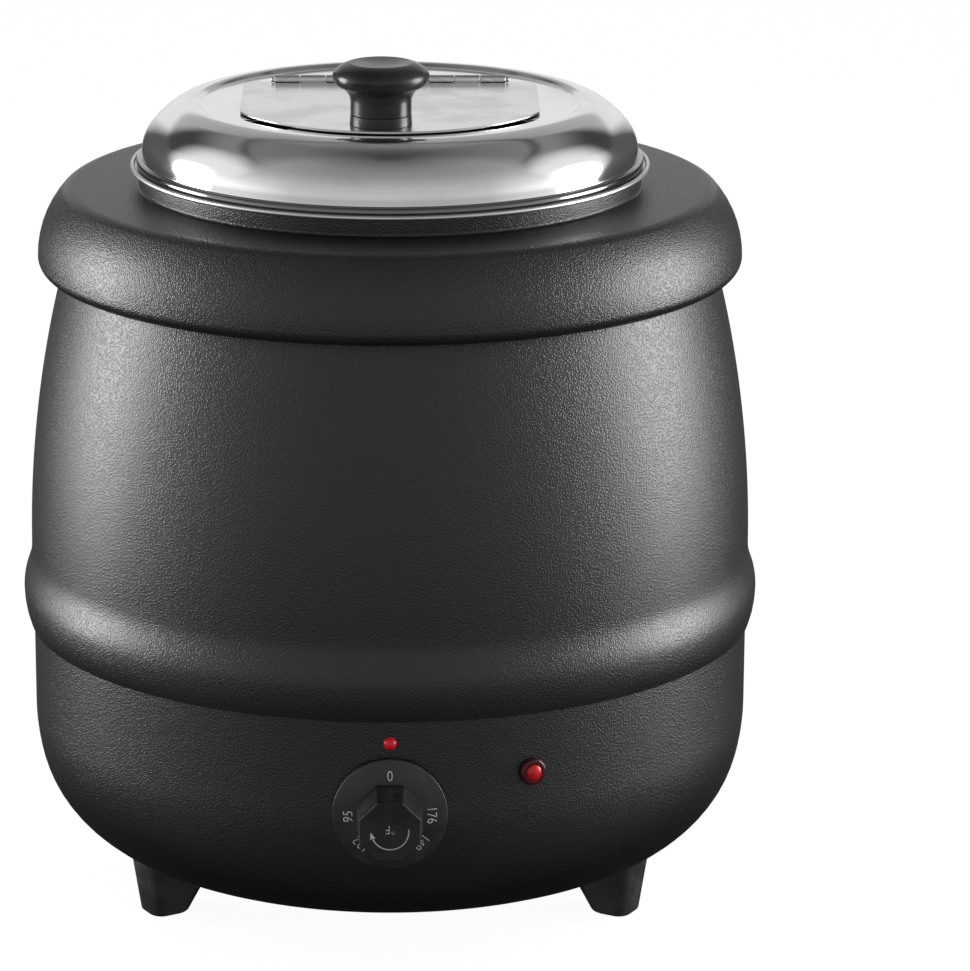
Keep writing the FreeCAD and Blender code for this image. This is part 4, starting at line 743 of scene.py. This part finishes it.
class KETTLE_OT_flap(bpy.types.Operator):
    """Flap with its knuckles, and the collar and knob on it"""
    bl_idname = "kettle.flap"
    bl_label = "Flap and knob"

    def execute(self, context):
        sizes = context.scene.kettle_lid
        y, z, radius = sizes.hinge_y, sizes.hinge_height, sizes.knuckle_radius
        front, side, corner, rear = sizes.flap_radius, sizes.flap_half_width, 0.015, 0.005
        inner = front - corner
        tangent = math.degrees(math.asin((side - corner) / inner))
        corner_y = -math.sqrt(inner ** 2 - (side - corner) ** 2)
        pitch = sizes.hinge_length / KNUCKLES
        long, gap = pitch - 2 * KNUCKLE_GAP, pitch + 2 * KNUCKLE_GAP
        deep, spare = 0.0025, 0.0019    # of the cuts for the lid's knuckles, and past the outer ones
        step_in = [(0, 90.0), (deep, 0), (0, -90.0)]
        step_out = [(0, -90.0), (deep, 0), (0, 90.0)]
        half = [(front, tangent), (corner, 90.0 - tangent), (y - rear - corner_y, 0), (rear, 90.0),
                (side - rear - sizes.hinge_length / 2 - spare, 0)]
        half += step_in + [(pitch + spare + KNUCKLE_GAP, 0)] + step_out + [(long, 0)]
        half += step_in + [(gap, 0)] + step_out + [(long, 0)] + step_in + [(gap / 2, 0)]
        bm = bmesh.new()
        base = Vector((0, 0, sizes.flap_under))
        Outline(bm, (0.0, -front), 0.0, X, Y, base).follow(half + half[::-1])
        bmesh.ops.remove_doubles(bm, verts=bm.verts, dist=JOIN)
        prism(bm, bm.edges[:], Z * sizes.flap_thickness)
        for i in range(1, KNUCKLES, 2):
            middle = -sizes.hinge_length / 2 + (i + 0.5) * pitch
            bar(bm, radius, long, Matrix.Translation((middle, y, z)) @ turned(90.0, "Y"))
        flap = soften(piece("flap_sheet", bm, "flap", "flap_steel", "flap_plate"), 0.00025)

        place = Matrix.Translation((sizes.knob_x, sizes.knob_y, sizes.flap_under + sizes.flap_thickness))
        neck, draft = sizes.knob_neck, 4.0
        collar_foot, collar_side, collar_edge = 0.0003, 0.0038, 0.0004
        bm = bmesh.new()
        collar = Outline(bm, (0.0, 0.0), 0.0)
        collar.run(neck).bend(collar_foot, 90.0 + draft).run(collar_side).bend(collar_edge, 90.0 - draft)
        collar.run(collar.reach())
        revolve(bm, SMALL_ROUND, place)
        piece("collar_turned", bm, "flap", "knob_plastic", "knob_collar")

        foot_height, foot_edge, neck_run = 0.0045, 0.0004, 0.0051
        flare_out, flare_up, lower_share = sizes.knob_head - neck, 0.0116, 0.6
        flare = 2 * math.degrees(math.atan2(flare_out, flare_up))
        bend = flare_up / math.sin(math.radians(flare))
        cheek, cheek_turn, crown, crown_turn = 0.0032, 40.0, 0.01143, 40.6
        top_edge, dish = 0.0015, 9.0
        bm = bmesh.new()
        knob = Outline(bm, (0.0, foot_height), 0.0)
        knob.run(neck - foot_edge).bend(foot_edge, 90.0).run(neck_run)
        knob.bend(bend * lower_share, -flare).bend(bend * (1.0 - lower_share), flare)
        knob.bend(cheek, cheek_turn).bend(crown, crown_turn)
        knob.bend(top_edge, 90.0 + dish - cheek_turn - crown_turn)
        knob.bend(knob.reach() / math.sin(math.radians(dish)), -dish)
        revolve(bm, KNOB_ROUND, place)
        piece("knob_turned", bm, "flap", "knob_plastic", "lid_knob")
        return {"FINISHED"}


def lettering(bm, text, width, height, place):
    """Raised words in a mesh: centred, stretched to a width and height, then moved to their place."""
    curve = bpy.data.curves.new("lettering", "FONT")
    curve.body = text
    curve.extrude = 0.01
    curve.offset = -0.012               # thins the strokes
    curve.resolution_u = 6
    thickness = 0.004                   # share of that extrusion that stays
    scratch = bpy.data.objects.new("lettering", curve)
    bpy.context.scene.collection.objects.link(scratch)
    mesh = bpy.data.meshes.new_from_object(scratch.evaluated_get(bpy.context.evaluated_depsgraph_get()))
    bpy.data.objects.remove(scratch)
    bpy.data.curves.remove(curve)
    xs = [vert.co.x for vert in mesh.vertices]
    ys = [vert.co.y for vert in mesh.vertices]
    centre = Vector(((min(xs) + max(xs)) / 2, (min(ys) + max(ys)) / 2, 0))
    stretch = Matrix.Diagonal((width / (max(xs) - min(xs)), height / (max(ys) - min(ys)), thickness, 1))
    mesh.transform(place @ stretch @ Matrix.Translation(-centre))
    bm.from_mesh(mesh)
    bpy.data.meshes.remove(mesh)


class KETTLE_OT_dial(bpy.types.Operator):
    """Temperature dial with its round skirt, eight-sided grip and printed figures"""
    bl_idname = "kettle.dial"
    bl_label = "Dial"

    def execute(self, context):
        sizes = context.scene.kettle_controls
        front = Matrix.Translation((0, -sizes.dial_back, sizes.axis_height)) @ turned(90.0, "X")
        rim, rim_edge, hollow = sizes.skirt_radius, 0.0003, 0.021
        rim_side, rim_round, rim_height = 0.0010, 0.0004, 0.0016
        rise, slope, slope_run, slope_across = 0.0026, 15.46, 0.0098, 0.0094
        bm = bmesh.new()
        skirt = Outline(bm, (0.0, rise), 0.0)
        skirt.run(hollow).turn(-90.0).run(rise).turn(90.0)
        skirt.run(rim - rim_edge - hollow).bend(rim_edge, 90.0)
        skirt.run(rim_side).bend(rim_round, 90.0 - slope).run(slope_run).turn(slope).run(skirt.reach())
        revolve(bm, DIAL_ROUND, front)
        soften(piece("dial_skirt", bm, "dial", "trim_plastic", "dial_knob"), 0.0002)

        sides = 8
        half_side = 180.0 / sides
        to_corner = sizes.grip_root / 2 / math.cos(math.radians(half_side))
        depth = sizes.dial_depth - 0.0001       # leaves room for the print
        place = Matrix.Translation((0, 0, rim_height)) @ turned(half_side, "Z")
        bm = bmesh.new()
        top = polygon(bm, sides, to_corner, Z * (depth - rim_height), place)
        narrow = sizes.grip_face / sizes.grip_root
        bmesh.ops.scale(bm, vec=(narrow, narrow, 1), verts=top)
        bmesh.ops.transform(bm, matrix=front, verts=bm.verts)
        soften(piece("dial_grip", bm, "dial", "grip_plastic"), 0.0004)

        print_circle, print_height, print_gap = 0.0184, 0.0044, 0.00002
        lift = rim_height + rise * (rim - print_circle) / slope_across + print_gap
        lean = Matrix.Translation((0, print_circle, lift)) @ turned(-slope, "X")
        bm = bmesh.new()
        for text, turn, width in (("0", 0, 0.0023), ("95", 91, 0.0050), ("122", 135, 0.0066),
                                  ("149", 227, 0.0066), ("176", 270, 0.0066)):
            lettering(bm, text, width, print_height, front @ turned(turn, "Z") @ lean)
        face = front @ Matrix.Translation((0, 0, depth + print_gap))
        unit_width, unit_height, unit_shift = 0.0038, 0.0039, 0.0008
        upside_down = Matrix.Translation(Y * unit_shift) @ turned(180.0, "Z")
        lettering(bm, "°F", unit_width, unit_height, face @ upside_down)
        self.arrow(bm, face)
        piece("dial_figures", bm, "dial", "figures")
        return {"FINISHED"}

    def arrow(self, bm, place):
        """Round arrow on the grip's face, which shows the way to turn."""
        circle, half_stroke, start, sweep = 0.0081, 0.00026, 8.0, -164.0
        point, squeeze, thickness = 0.0019, Matrix.Diagonal((0.75, 1.1, 1, 1)), 0.00004
        drawn = bmesh.new()
        ends = [drawn.verts.new((circle + offset, 0, 0)) for offset in (-half_stroke, half_stroke)]
        stroke = drawn.edges.new(ends)
        bmesh.ops.transform(drawn, matrix=turned(start, "Z"), verts=ends)
        bmesh.ops.spin(drawn, geom=ends + [stroke], cent=(0, 0, 0), axis=(0, 0, 1),
                       angle=math.radians(sweep), steps=40)
        tip = turned(sweep, "Z") @ Matrix.Translation((circle, 0, 0)) @ turned(180.0, "Z")
        bmesh.ops.create_circle(drawn, cap_ends=True, segments=3, radius=point, matrix=tip @ squeeze)
        raise_faces(drawn, drawn.faces[:], Z * thickness)
        bmesh.ops.transform(drawn, matrix=place, verts=drawn.verts)
        scratch = bpy.data.meshes.new("arrow")
        drawn.to_mesh(scratch)
        drawn.free()
        bm.from_mesh(scratch)
        bpy.data.meshes.remove(scratch)


class KETTLE_OT_lamps(bpy.types.Operator):
    """Small pilot lamp, and the power lamp with its bezel and lens"""
    bl_idname = "kettle.lamps"
    bl_label = "Lamps"

    def execute(self, context):
        sizes = context.scene.kettle_controls
        outward = turned(90.0, "X")
        wall = 0.1661                   # of the bowl, from the kettle's axis
        radius, stem, stem_length = sizes.pilot_radius, 0.0027, 0.011
        bm = bmesh.new()
        dome = Outline(bm, (0.0, -stem_length), 0.0)
        dome.run(stem).turn(90.0).run(stem_length).turn(-90.0)
        dome.run(radius - stem).turn(90.0).bend(radius, 90.0)
        revolve(bm, SMALL_ROUND, Matrix.Translation((0, -wall, sizes.pilot_height)) @ outward)
        piece("pilot_dome", bm, "housing", "lamp_red", "pilot_lamp")

        place = Matrix.Rotation(sizes.power_turn, 4, "Z") @ Matrix.Translation((0, -wall, sizes.power_height))
        barrel, barrel_length, bore, bore_deep = 0.0046, 0.022, 0.00405, 0.0125
        bezel_side, bezel_round, mouth_round = 0.0014, 0.0012, 0.0005
        bm = bmesh.new()
        bezel = Outline(bm, (barrel, -barrel_length), 90.0)
        bezel.run(barrel_length).turn(-90.0).run(sizes.power_radius - barrel).turn(90.0).run(bezel_side)
        bezel.bend(bezel_round, 90.0).run(bezel.reach() - bore).bend(mouth_round, 90.0).run(bore_deep)
        revolve(bm, SMALL_ROUND, place @ outward)
        piece("lamp_bezel", bm, "housing", "bezel_plastic", "power_lamp_bezel")

        radius, back, side, crown_rise = 0.0035, 0.0105, 0.0133, 0.0012
        crown = math.degrees(2 * math.atan2(crown_rise, radius))
        bm = bmesh.new()
        lens = Outline(bm, (0.0, -back), 0.0)
        lens.run(radius).turn(90.0).run(side).turn(90.0 - crown)
        lens.bend(radius / math.sin(math.radians(crown)), crown)
        revolve(bm, SMALL_ROUND, place @ outward)
        piece("lamp_lens", bm, "housing", "lamp_red", "power_lamp_lens")
        return {"FINISHED"}


class KETTLE_OT_feet(bpy.types.Operator):
    """Three tapered feet whose tops follow the bowl's slope"""
    bl_idname = "kettle.feet"
    bl_label = "Feet"

    def execute(self, context):
        sizes = context.scene.kettle_controls
        half, tall, circle = sizes.foot_half, 0.040, sizes.foot_circle
        flare = math.tan(math.radians(6.7)) * tall      # on three sides, and more towards the kettle's axis
        tuck = math.tan(math.radians(30.3)) * tall
        slope = math.radians(BOWL_CONE)
        into_bowl, corner_round, sole_round = 0.0007, 0.0062, 0.0013
        seat = context.scene.kettle_casing.bowl_floor + (circle - BOWL_EDGE) * math.tan(slope) + into_bowl
        rounding = {"offset_type": "OFFSET", "profile": 0.5, "affect": "EDGES", "material": -1}
        for name, node, turn in (("foot_left", "foot_front_left", 210.0),
                                 ("foot_right", "foot_front_right", 330.0), ("foot_back", "foot_rear", 90.0)):
            bm = bmesh.new()
            block(bm, (-half, -half, 0), (half, half, tall))
            top = [vert for vert in bm.verts if vert.co.z > tall / 2]
            for way, shift in ((X, flare), (-X, tuck), (Y, flare), (-Y, flare)):
                bmesh.ops.translate(bm, verts=[vert for vert in top if vert.co.dot(way) > 0], vec=way * shift)
            uprights = [edge for edge in bm.edges if abs(edge.verts[0].co.z - edge.verts[1].co.z) > tall / 2]
            bmesh.ops.bevel(bm, geom=uprights, offset=corner_round, segments=8, **rounding)
            sole = [edge for edge in bm.edges if max(vert.co.z for vert in edge.verts) < 0.0001]
            bmesh.ops.bevel(bm, geom=sole, offset=sole_round, segments=4, **rounding)
            bmesh.ops.translate(bm, verts=bm.verts, vec=X * circle)
            cut = bmesh.ops.bisect_plane(bm, geom=bm.verts[:] + bm.edges[:] + bm.faces[:], dist=1e-7,
                                         plane_co=(circle, 0, seat), clear_outer=True,
                                         plane_no=(-math.sin(slope), 0, math.cos(slope)))
            open_edges = [item for item in cut["geom_cut"] if isinstance(item, bmesh.types.BMEdge)]
            bmesh.ops.holes_fill(bm, edges=open_edges, sides=0)
            bmesh.ops.recalc_face_normals(bm, faces=bm.faces)
            bmesh.ops.transform(bm, matrix=turned(turn, "Z"), verts=bm.verts)
            soften(piece(name, bm, "housing", "trim_plastic", node), 0.0003)
        return {"FINISHED"}


class KETTLE_OT_gland(bpy.types.Operator):
    """Cord gland at the rear: a six-sided flange and a ribbed cap"""
    bl_idname = "kettle.gland"
    bl_label = "Gland"

    def execute(self, context):
        sizes = context.scene.kettle_controls
        wall = 0.166093                 # of the bowl, from the kettle's axis
        rear = Matrix.Translation((0, wall, sizes.axis_height)) @ turned(-90.0, "X")
        half_flats, thick = 0.011, 0.005
        bore, tube, tube_back, tube_length = 0.0055, 0.0025, 0.011, 0.023
        bm = bmesh.new()
        polygon(bm, 6, half_flats / math.cos(math.radians(30.0)), Z * thick)
        shank = Outline(bm, (bore, -tube_back), 0.0)
        shank.run(tube).turn(90.0).run(tube_length).turn(90.0).run(tube).turn(90.0).run(tube_length)
        wire = [edge for edge in bm.edges if edge.is_wire]
        bmesh.ops.spin(bm, geom=ends_of(wire) + wire, cent=(0, 0, 0), axis=(0, 0, 1), angle=2 * math.pi,
                       steps=KNOB_ROUND // 2, use_merge=True)
        bmesh.ops.remove_doubles(bm, verts=bm.verts, dist=JOIN)
        bmesh.ops.recalc_face_normals(bm, faces=bm.faces)
        bmesh.ops.transform(bm, matrix=rear, verts=bm.verts)
        soften(piece("gland_flange", bm, "housing", "trim_plastic", "gland_body"), 0.0004)

        cap, cap_side, dome = sizes.gland_cap, 0.0173, 0.0025
        foot, mouth, lip, thread, thread_deep = 0.0051, 0.0042, 0.0055, 0.00805, 0.0143
        groove_edge, groove_deep, groove_pitch = 0.00015, 0.0006, 4     # the pitch is in faces
        bm = bmesh.new()
        nut = Outline(bm, (thread, foot), 0.0)
        nut.run(cap - thread).turn(90.0).run(cap_side).bend(dome, 90.0).run(cap - dome - mouth).turn(90.0)
        nut.run(lip).turn(90.0).run(thread - mouth).turn(-90.0).run(thread_deep)
        revolve(bm, KNOB_ROUND)
        grooves = []
        for face in bm.faces:
            middle = face.calc_center_median()
            count = int(math.degrees(math.atan2(middle.y, middle.x)) // (360.0 / KNOB_ROUND))
            if abs(face.normal.z) < 0.1 and middle.xy.length > cap - 0.0005 and count % groove_pitch == 0:
                grooves.append(face)
        bmesh.ops.inset_individual(bm, faces=grooves, thickness=groove_edge, depth=-groove_deep)
        bmesh.ops.transform(bm, matrix=rear, verts=bm.verts)
        soften(piece("gland_cap_ribbed", bm, "housing", "trim_plastic", "gland_cap"), 0.0003)
        return {"FINISHED"}


class KETTLE_OT_insides(bpy.types.Operator):
    """Finishes of the inner pieces that keep their own shape"""
    bl_idname = "kettle.insides"
    bl_label = "Inner pieces"

    def execute(self, context):
        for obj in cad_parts.values():
            slot = obj.data.materials[0].name.split(".")[0]
            obj.data.materials[0] = finish(slot)
        return {"FINISHED"}


class KETTLE_OT_studio(bpy.types.Operator):
    """Pale floor, soft lights, surroundings and camera"""
    bl_idname = "kettle.studio"
    bl_label = "Studio"

    def execute(self, context):
        scene = context.scene
        levels = scene.kettle_studio
        scene.view_settings.view_transform = "Standard"
        floor_radius, floor_steps = 9.0, 96
        bm = bmesh.new()
        bmesh.ops.create_circle(bm, cap_ends=True, segments=floor_steps, radius=floor_radius)
        mesh = bpy.data.meshes.new("floor")
        bm.to_mesh(mesh)
        bm.free()
        mesh.materials.append(self.paper(levels))
        floor = bpy.data.objects.new("floor", mesh)
        scene.collection.objects.link(floor)
        floor.visible_glossy = False
        floor.visible_diffuse = False
        floor.visible_shadow = False
        self.surroundings(scene)
        self.softbox("softbox_left", levels.left_power, (-1.428, 0.252, 0.37), (0.68, 1.04))
        self.softbox("softbox_right", levels.right_power, (1.446, 0.101, 0.42), (0.79, 1.15))
        self.camera(scene)
        return {"FINISHED"}

    def camera(self, scene):
        """Long lens at the photograph's viewing angle, with its frame shifted to the right of the kettle."""
        picture_width, picture_shift = 970.0, 95.0      # in pixels
        look_down = 16.0
        lens = bpy.data.cameras.new("camera")
        lens.lens = 174.25
        lens.sensor_width = 36.0
        lens.sensor_fit = "HORIZONTAL"
        lens.shift_x = picture_shift / picture_width
        lens.clip_end = 50.0
        view = bpy.data.objects.new("camera", lens)
        view.location = (0.0, -2.0984, 0.7887)
        view.rotation_euler = (math.radians(90.0 - look_down), 0.0, 0.0)
        scene.collection.objects.link(view)
        scene.camera = view

    def paper(self, levels):
        """White paper that stays white to the eye and still takes a pale shadow."""
        material = bpy.data.materials.new("floor_paper")
        material.use_nodes = True
        tree = material.node_tree
        tree.nodes.clear()
        path = add(tree, "LightPath")
        seen = math_node(tree, "MAXIMUM", path.outputs["Is Camera Ray"], path.outputs["Is Transmission Ray"])
        place = add(tree, "TexCoord").outputs["Object"]
        fibre = add(tree, "TexNoise", {"Vector": place, "Scale": 60.0, "Detail": 3.0}).outputs["Fac"]
        pale = [min(1.0, tone * 1.02) for tone in levels.floor]
        diffuse = add(tree, "BsdfDiffuse", {"Color": blend(tree, fibre, levels.floor, pale)})
        glow = add(tree, "Emission", {"Color": (1, 1, 1, 1), "Strength": 1.08})
        plain = add(tree, "MixShader", {0: 0.88, 1: diffuse.outputs[0], 2: glow.outputs[0]})
        both = add(tree, "MixShader", {0: seen, 1: diffuse.outputs[0], 2: plain.outputs[0]})
        output = tree.nodes.new("ShaderNodeOutputMaterial")
        tree.links.new(both.outputs[0], output.inputs["Surface"])
        return material

    def surroundings(self, scene):
        """Studio round the kettle: bright behind it, grey in front, with a halo round each softbox."""
        world = bpy.data.worlds.new("studio")
        scene.world = world
        world.use_nodes = True
        tree = world.node_tree
        tree.nodes.clear()
        way = add(tree, "SeparateXYZ", {"Vector": add(tree, "TexCoord").outputs["Generated"]}).outputs
        across = math_node(tree, "ABSOLUTE", way["X"])
        squared = math_node(tree, "MULTIPLY", way["Z"], way["Z"])
        level = math_node(tree, "SQRT", math_node(tree, "SUBTRACT", 1.0, squared))
        aside = math_node(tree, "DIVIDE", across, math_node(tree, "MAXIMUM", level, 0.001))
        lift = math_node(tree, "DIVIDE", math_node(tree, "ADD", way["Z"], 1.0), 2.0)
        front = self.front_half(tree, way["Z"], lift, aside)
        back = self.back_half(tree, way["Z"], lift, aside)
        room = blend(tree, spread(tree, way["Y"], 0.0, 1.0, -0.1, 0.15), front, back)
        folded = add(tree, "CombineXYZ", {"X": across, "Y": way["Y"], "Z": way["Z"]})
        halo_way = Vector((0.916, 0.145, 0.375))
        towards = add(tree, "VectorMath", {0: folded.outputs[0], 1: halo_way}, operation="DOT_PRODUCT")
        halo = spread(tree, towards.outputs["Value"], 0.0, 0.95, 0.84, 0.965)
        lit_room = self.combined(tree, "LIGHTEN", room, halo)
        studio = add(tree, "Background", {"Color": lit_room, "Strength": 1.0})
        white = add(tree, "Background", {"Color": (1, 1, 1, 1), "Strength": 1.0})
        seen = add(tree, "LightPath").outputs["Is Camera Ray"]
        both = add(tree, "MixShader", {0: seen, 1: studio.outputs[0], 2: white.outputs[0]})
        output = tree.nodes.new("ShaderNodeOutputWorld")
        tree.links.new(both.outputs[0], output.inputs["Surface"])

    def front_half(self, tree, height, lift, aside):
        """Grey room behind the camera, lighter to the sides at the kettle's level."""
        room = self.greys(tree, lift, (
            (0.0, 0.08), (0.15, 0.11), (0.3, 0.13), (0.38, 0.38), (0.45, 0.57), (0.5, 0.6), (0.71, 0.52),
            (0.87, 0.38), (0.96, 0.29), (0.985, 0.21), (0.997, 0.14), (1.0, 0.06)))
        sides = self.greys(tree, aside, (
            (0.0, 0.0), (0.5, 0.02), (0.72, 0.14), (0.87, 0.65), (0.97, 1.1), (1.0, 1.3)))
        upright = math_node(tree, "ABSOLUTE", height)
        low = math_node(tree, "POWER", math_node(tree, "SUBTRACT", 1.0, upright), 1.5)
        boost = math_node(tree, "ADD", math_node(tree, "MULTIPLY", sides, low), 1.0)
        return self.combined(tree, "MULTIPLY", room, boost)

    def back_half(self, tree, height, lift, aside):
        """Bright wall behind the kettle, with a dark line high up and dark sides."""
        wall = self.greys(tree, lift, (
            (0.0, 0.08), (0.25, 0.12), (0.4, 0.6), (0.5, 0.85), (0.63, 0.88), (0.645, 0.88), (0.672, 0.5),
            (0.84, 0.38), (0.872, 0.32), (0.888, 0.06), (0.9, 0.27), (0.96, 0.22), (0.985, 0.15),
            (1.0, 0.06)))
        dim = spread(tree, height, 0.12, 0.85, 0.5, 0.8)
        below = math_node(tree, "MAXIMUM", math_node(tree, "SUBTRACT", 0.3, height), 0.0)
        wide = math_node(tree, "ADD", math_node(tree, "MULTIPLY", below, 0.8), aside)
        shade = add(tree, "MapRange", {"Value": wide, "From Min": 0.48, "From Max": 0.58, "To Min": 1.0,
                                       "To Max": dim})
        return self.combined(tree, "MULTIPLY", wall, shade.outputs["Result"])

    def combined(self, tree, kind, first, second):
        """Two colours multiplied, or the lighter of both."""
        mix = add(tree, "Mix", {"Factor": 1.0, 6: first, 7: second}, data_type="RGBA", blend_type=kind)
        return mix.outputs[2]

    def greys(self, tree, along, stops):
        """Ramp of greys, with a place along the value and a grey for each stop."""
        node = add(tree, "ValToRGB", {"Fac": along})
        elements = node.color_ramp.elements
        while len(elements) < len(stops):
            elements.new(0.5)
        for element, (place, grey) in zip(elements, stops):
            element.position = place
            element.color = (grey, grey, grey, 1)
        return node.outputs["Color"]

    def softbox(self, name, power, place, area):
        """Soft oval light that faces the kettle's middle."""
        lamp = bpy.data.lights.new(name, "AREA")
        lamp.shape = "ELLIPSE"
        lamp.size, lamp.size_y = area
        lamp.energy = power
        light = bpy.data.objects.new(name, lamp)
        light.location = place
        middle = Vector((0, 0, 0.2))
        towards = middle - Vector(place)
        light.rotation_euler = towards.to_track_quat("-Z", "Y").to_euler()
        light.visible_camera = False
        bpy.context.scene.collection.objects.link(light)


class KETTLE_PT_pieces(bpy.types.Panel):
    """Buttons that make the kettle's pieces"""
    bl_idname = "KETTLE_PT_pieces"
    bl_label = "Soup kettle"
    bl_space_type = "VIEW_3D"
    bl_region_type = "UI"
    bl_category = "Kettle"

    def draw(self, context):
        for operator in OPERATORS:
            self.layout.operator(operator.bl_idname)
        for name in SETTINGS:
            sizes = getattr(context.scene, name)
            column = self.layout.column(heading=name)
            for key in sizes.__annotations__:
                column.prop(sizes, key)


SETTINGS = {
    "kettle_casing": CasingSizes,
    "kettle_vessels": VesselSizes,
    "kettle_lid": LidSizes,
    "kettle_controls": ControlSizes,
    "kettle_studio": StudioLevels,
}
OPERATORS = (KETTLE_OT_insides, KETTLE_OT_casing, KETTLE_OT_vessels, KETTLE_OT_lid, KETTLE_OT_flap,
             KETTLE_OT_dial, KETTLE_OT_lamps, KETTLE_OT_feet, KETTLE_OT_gland, KETTLE_OT_studio)


def register():
    for group in SETTINGS.values():
        bpy.utils.register_class(group)
    for name, group in SETTINGS.items():
        setattr(bpy.types.Scene, name, bpy.props.PointerProperty(type=group))
    for operator in OPERATORS:
        bpy.utils.register_class(operator)
    bpy.utils.register_class(KETTLE_PT_pieces)


def unregister():
    bpy.utils.unregister_class(KETTLE_PT_pieces)
    for operator in reversed(OPERATORS):
        bpy.utils.unregister_class(operator)
    for name in SETTINGS:
        delattr(bpy.types.Scene, name)
    for group in reversed(SETTINGS.values()):
        bpy.utils.unregister_class(group)


def main():
    register()
    bpy.ops.kettle.insides()
    bpy.ops.kettle.casing()
    bpy.ops.kettle.vessels()
    bpy.ops.kettle.lid()
    bpy.ops.kettle.flap()
    bpy.ops.kettle.dial()
    bpy.ops.kettle.lamps()
    bpy.ops.kettle.feet()
    bpy.ops.kettle.gland()
    bpy.ops.kettle.studio()


if __name__ == "__main__":
    main()
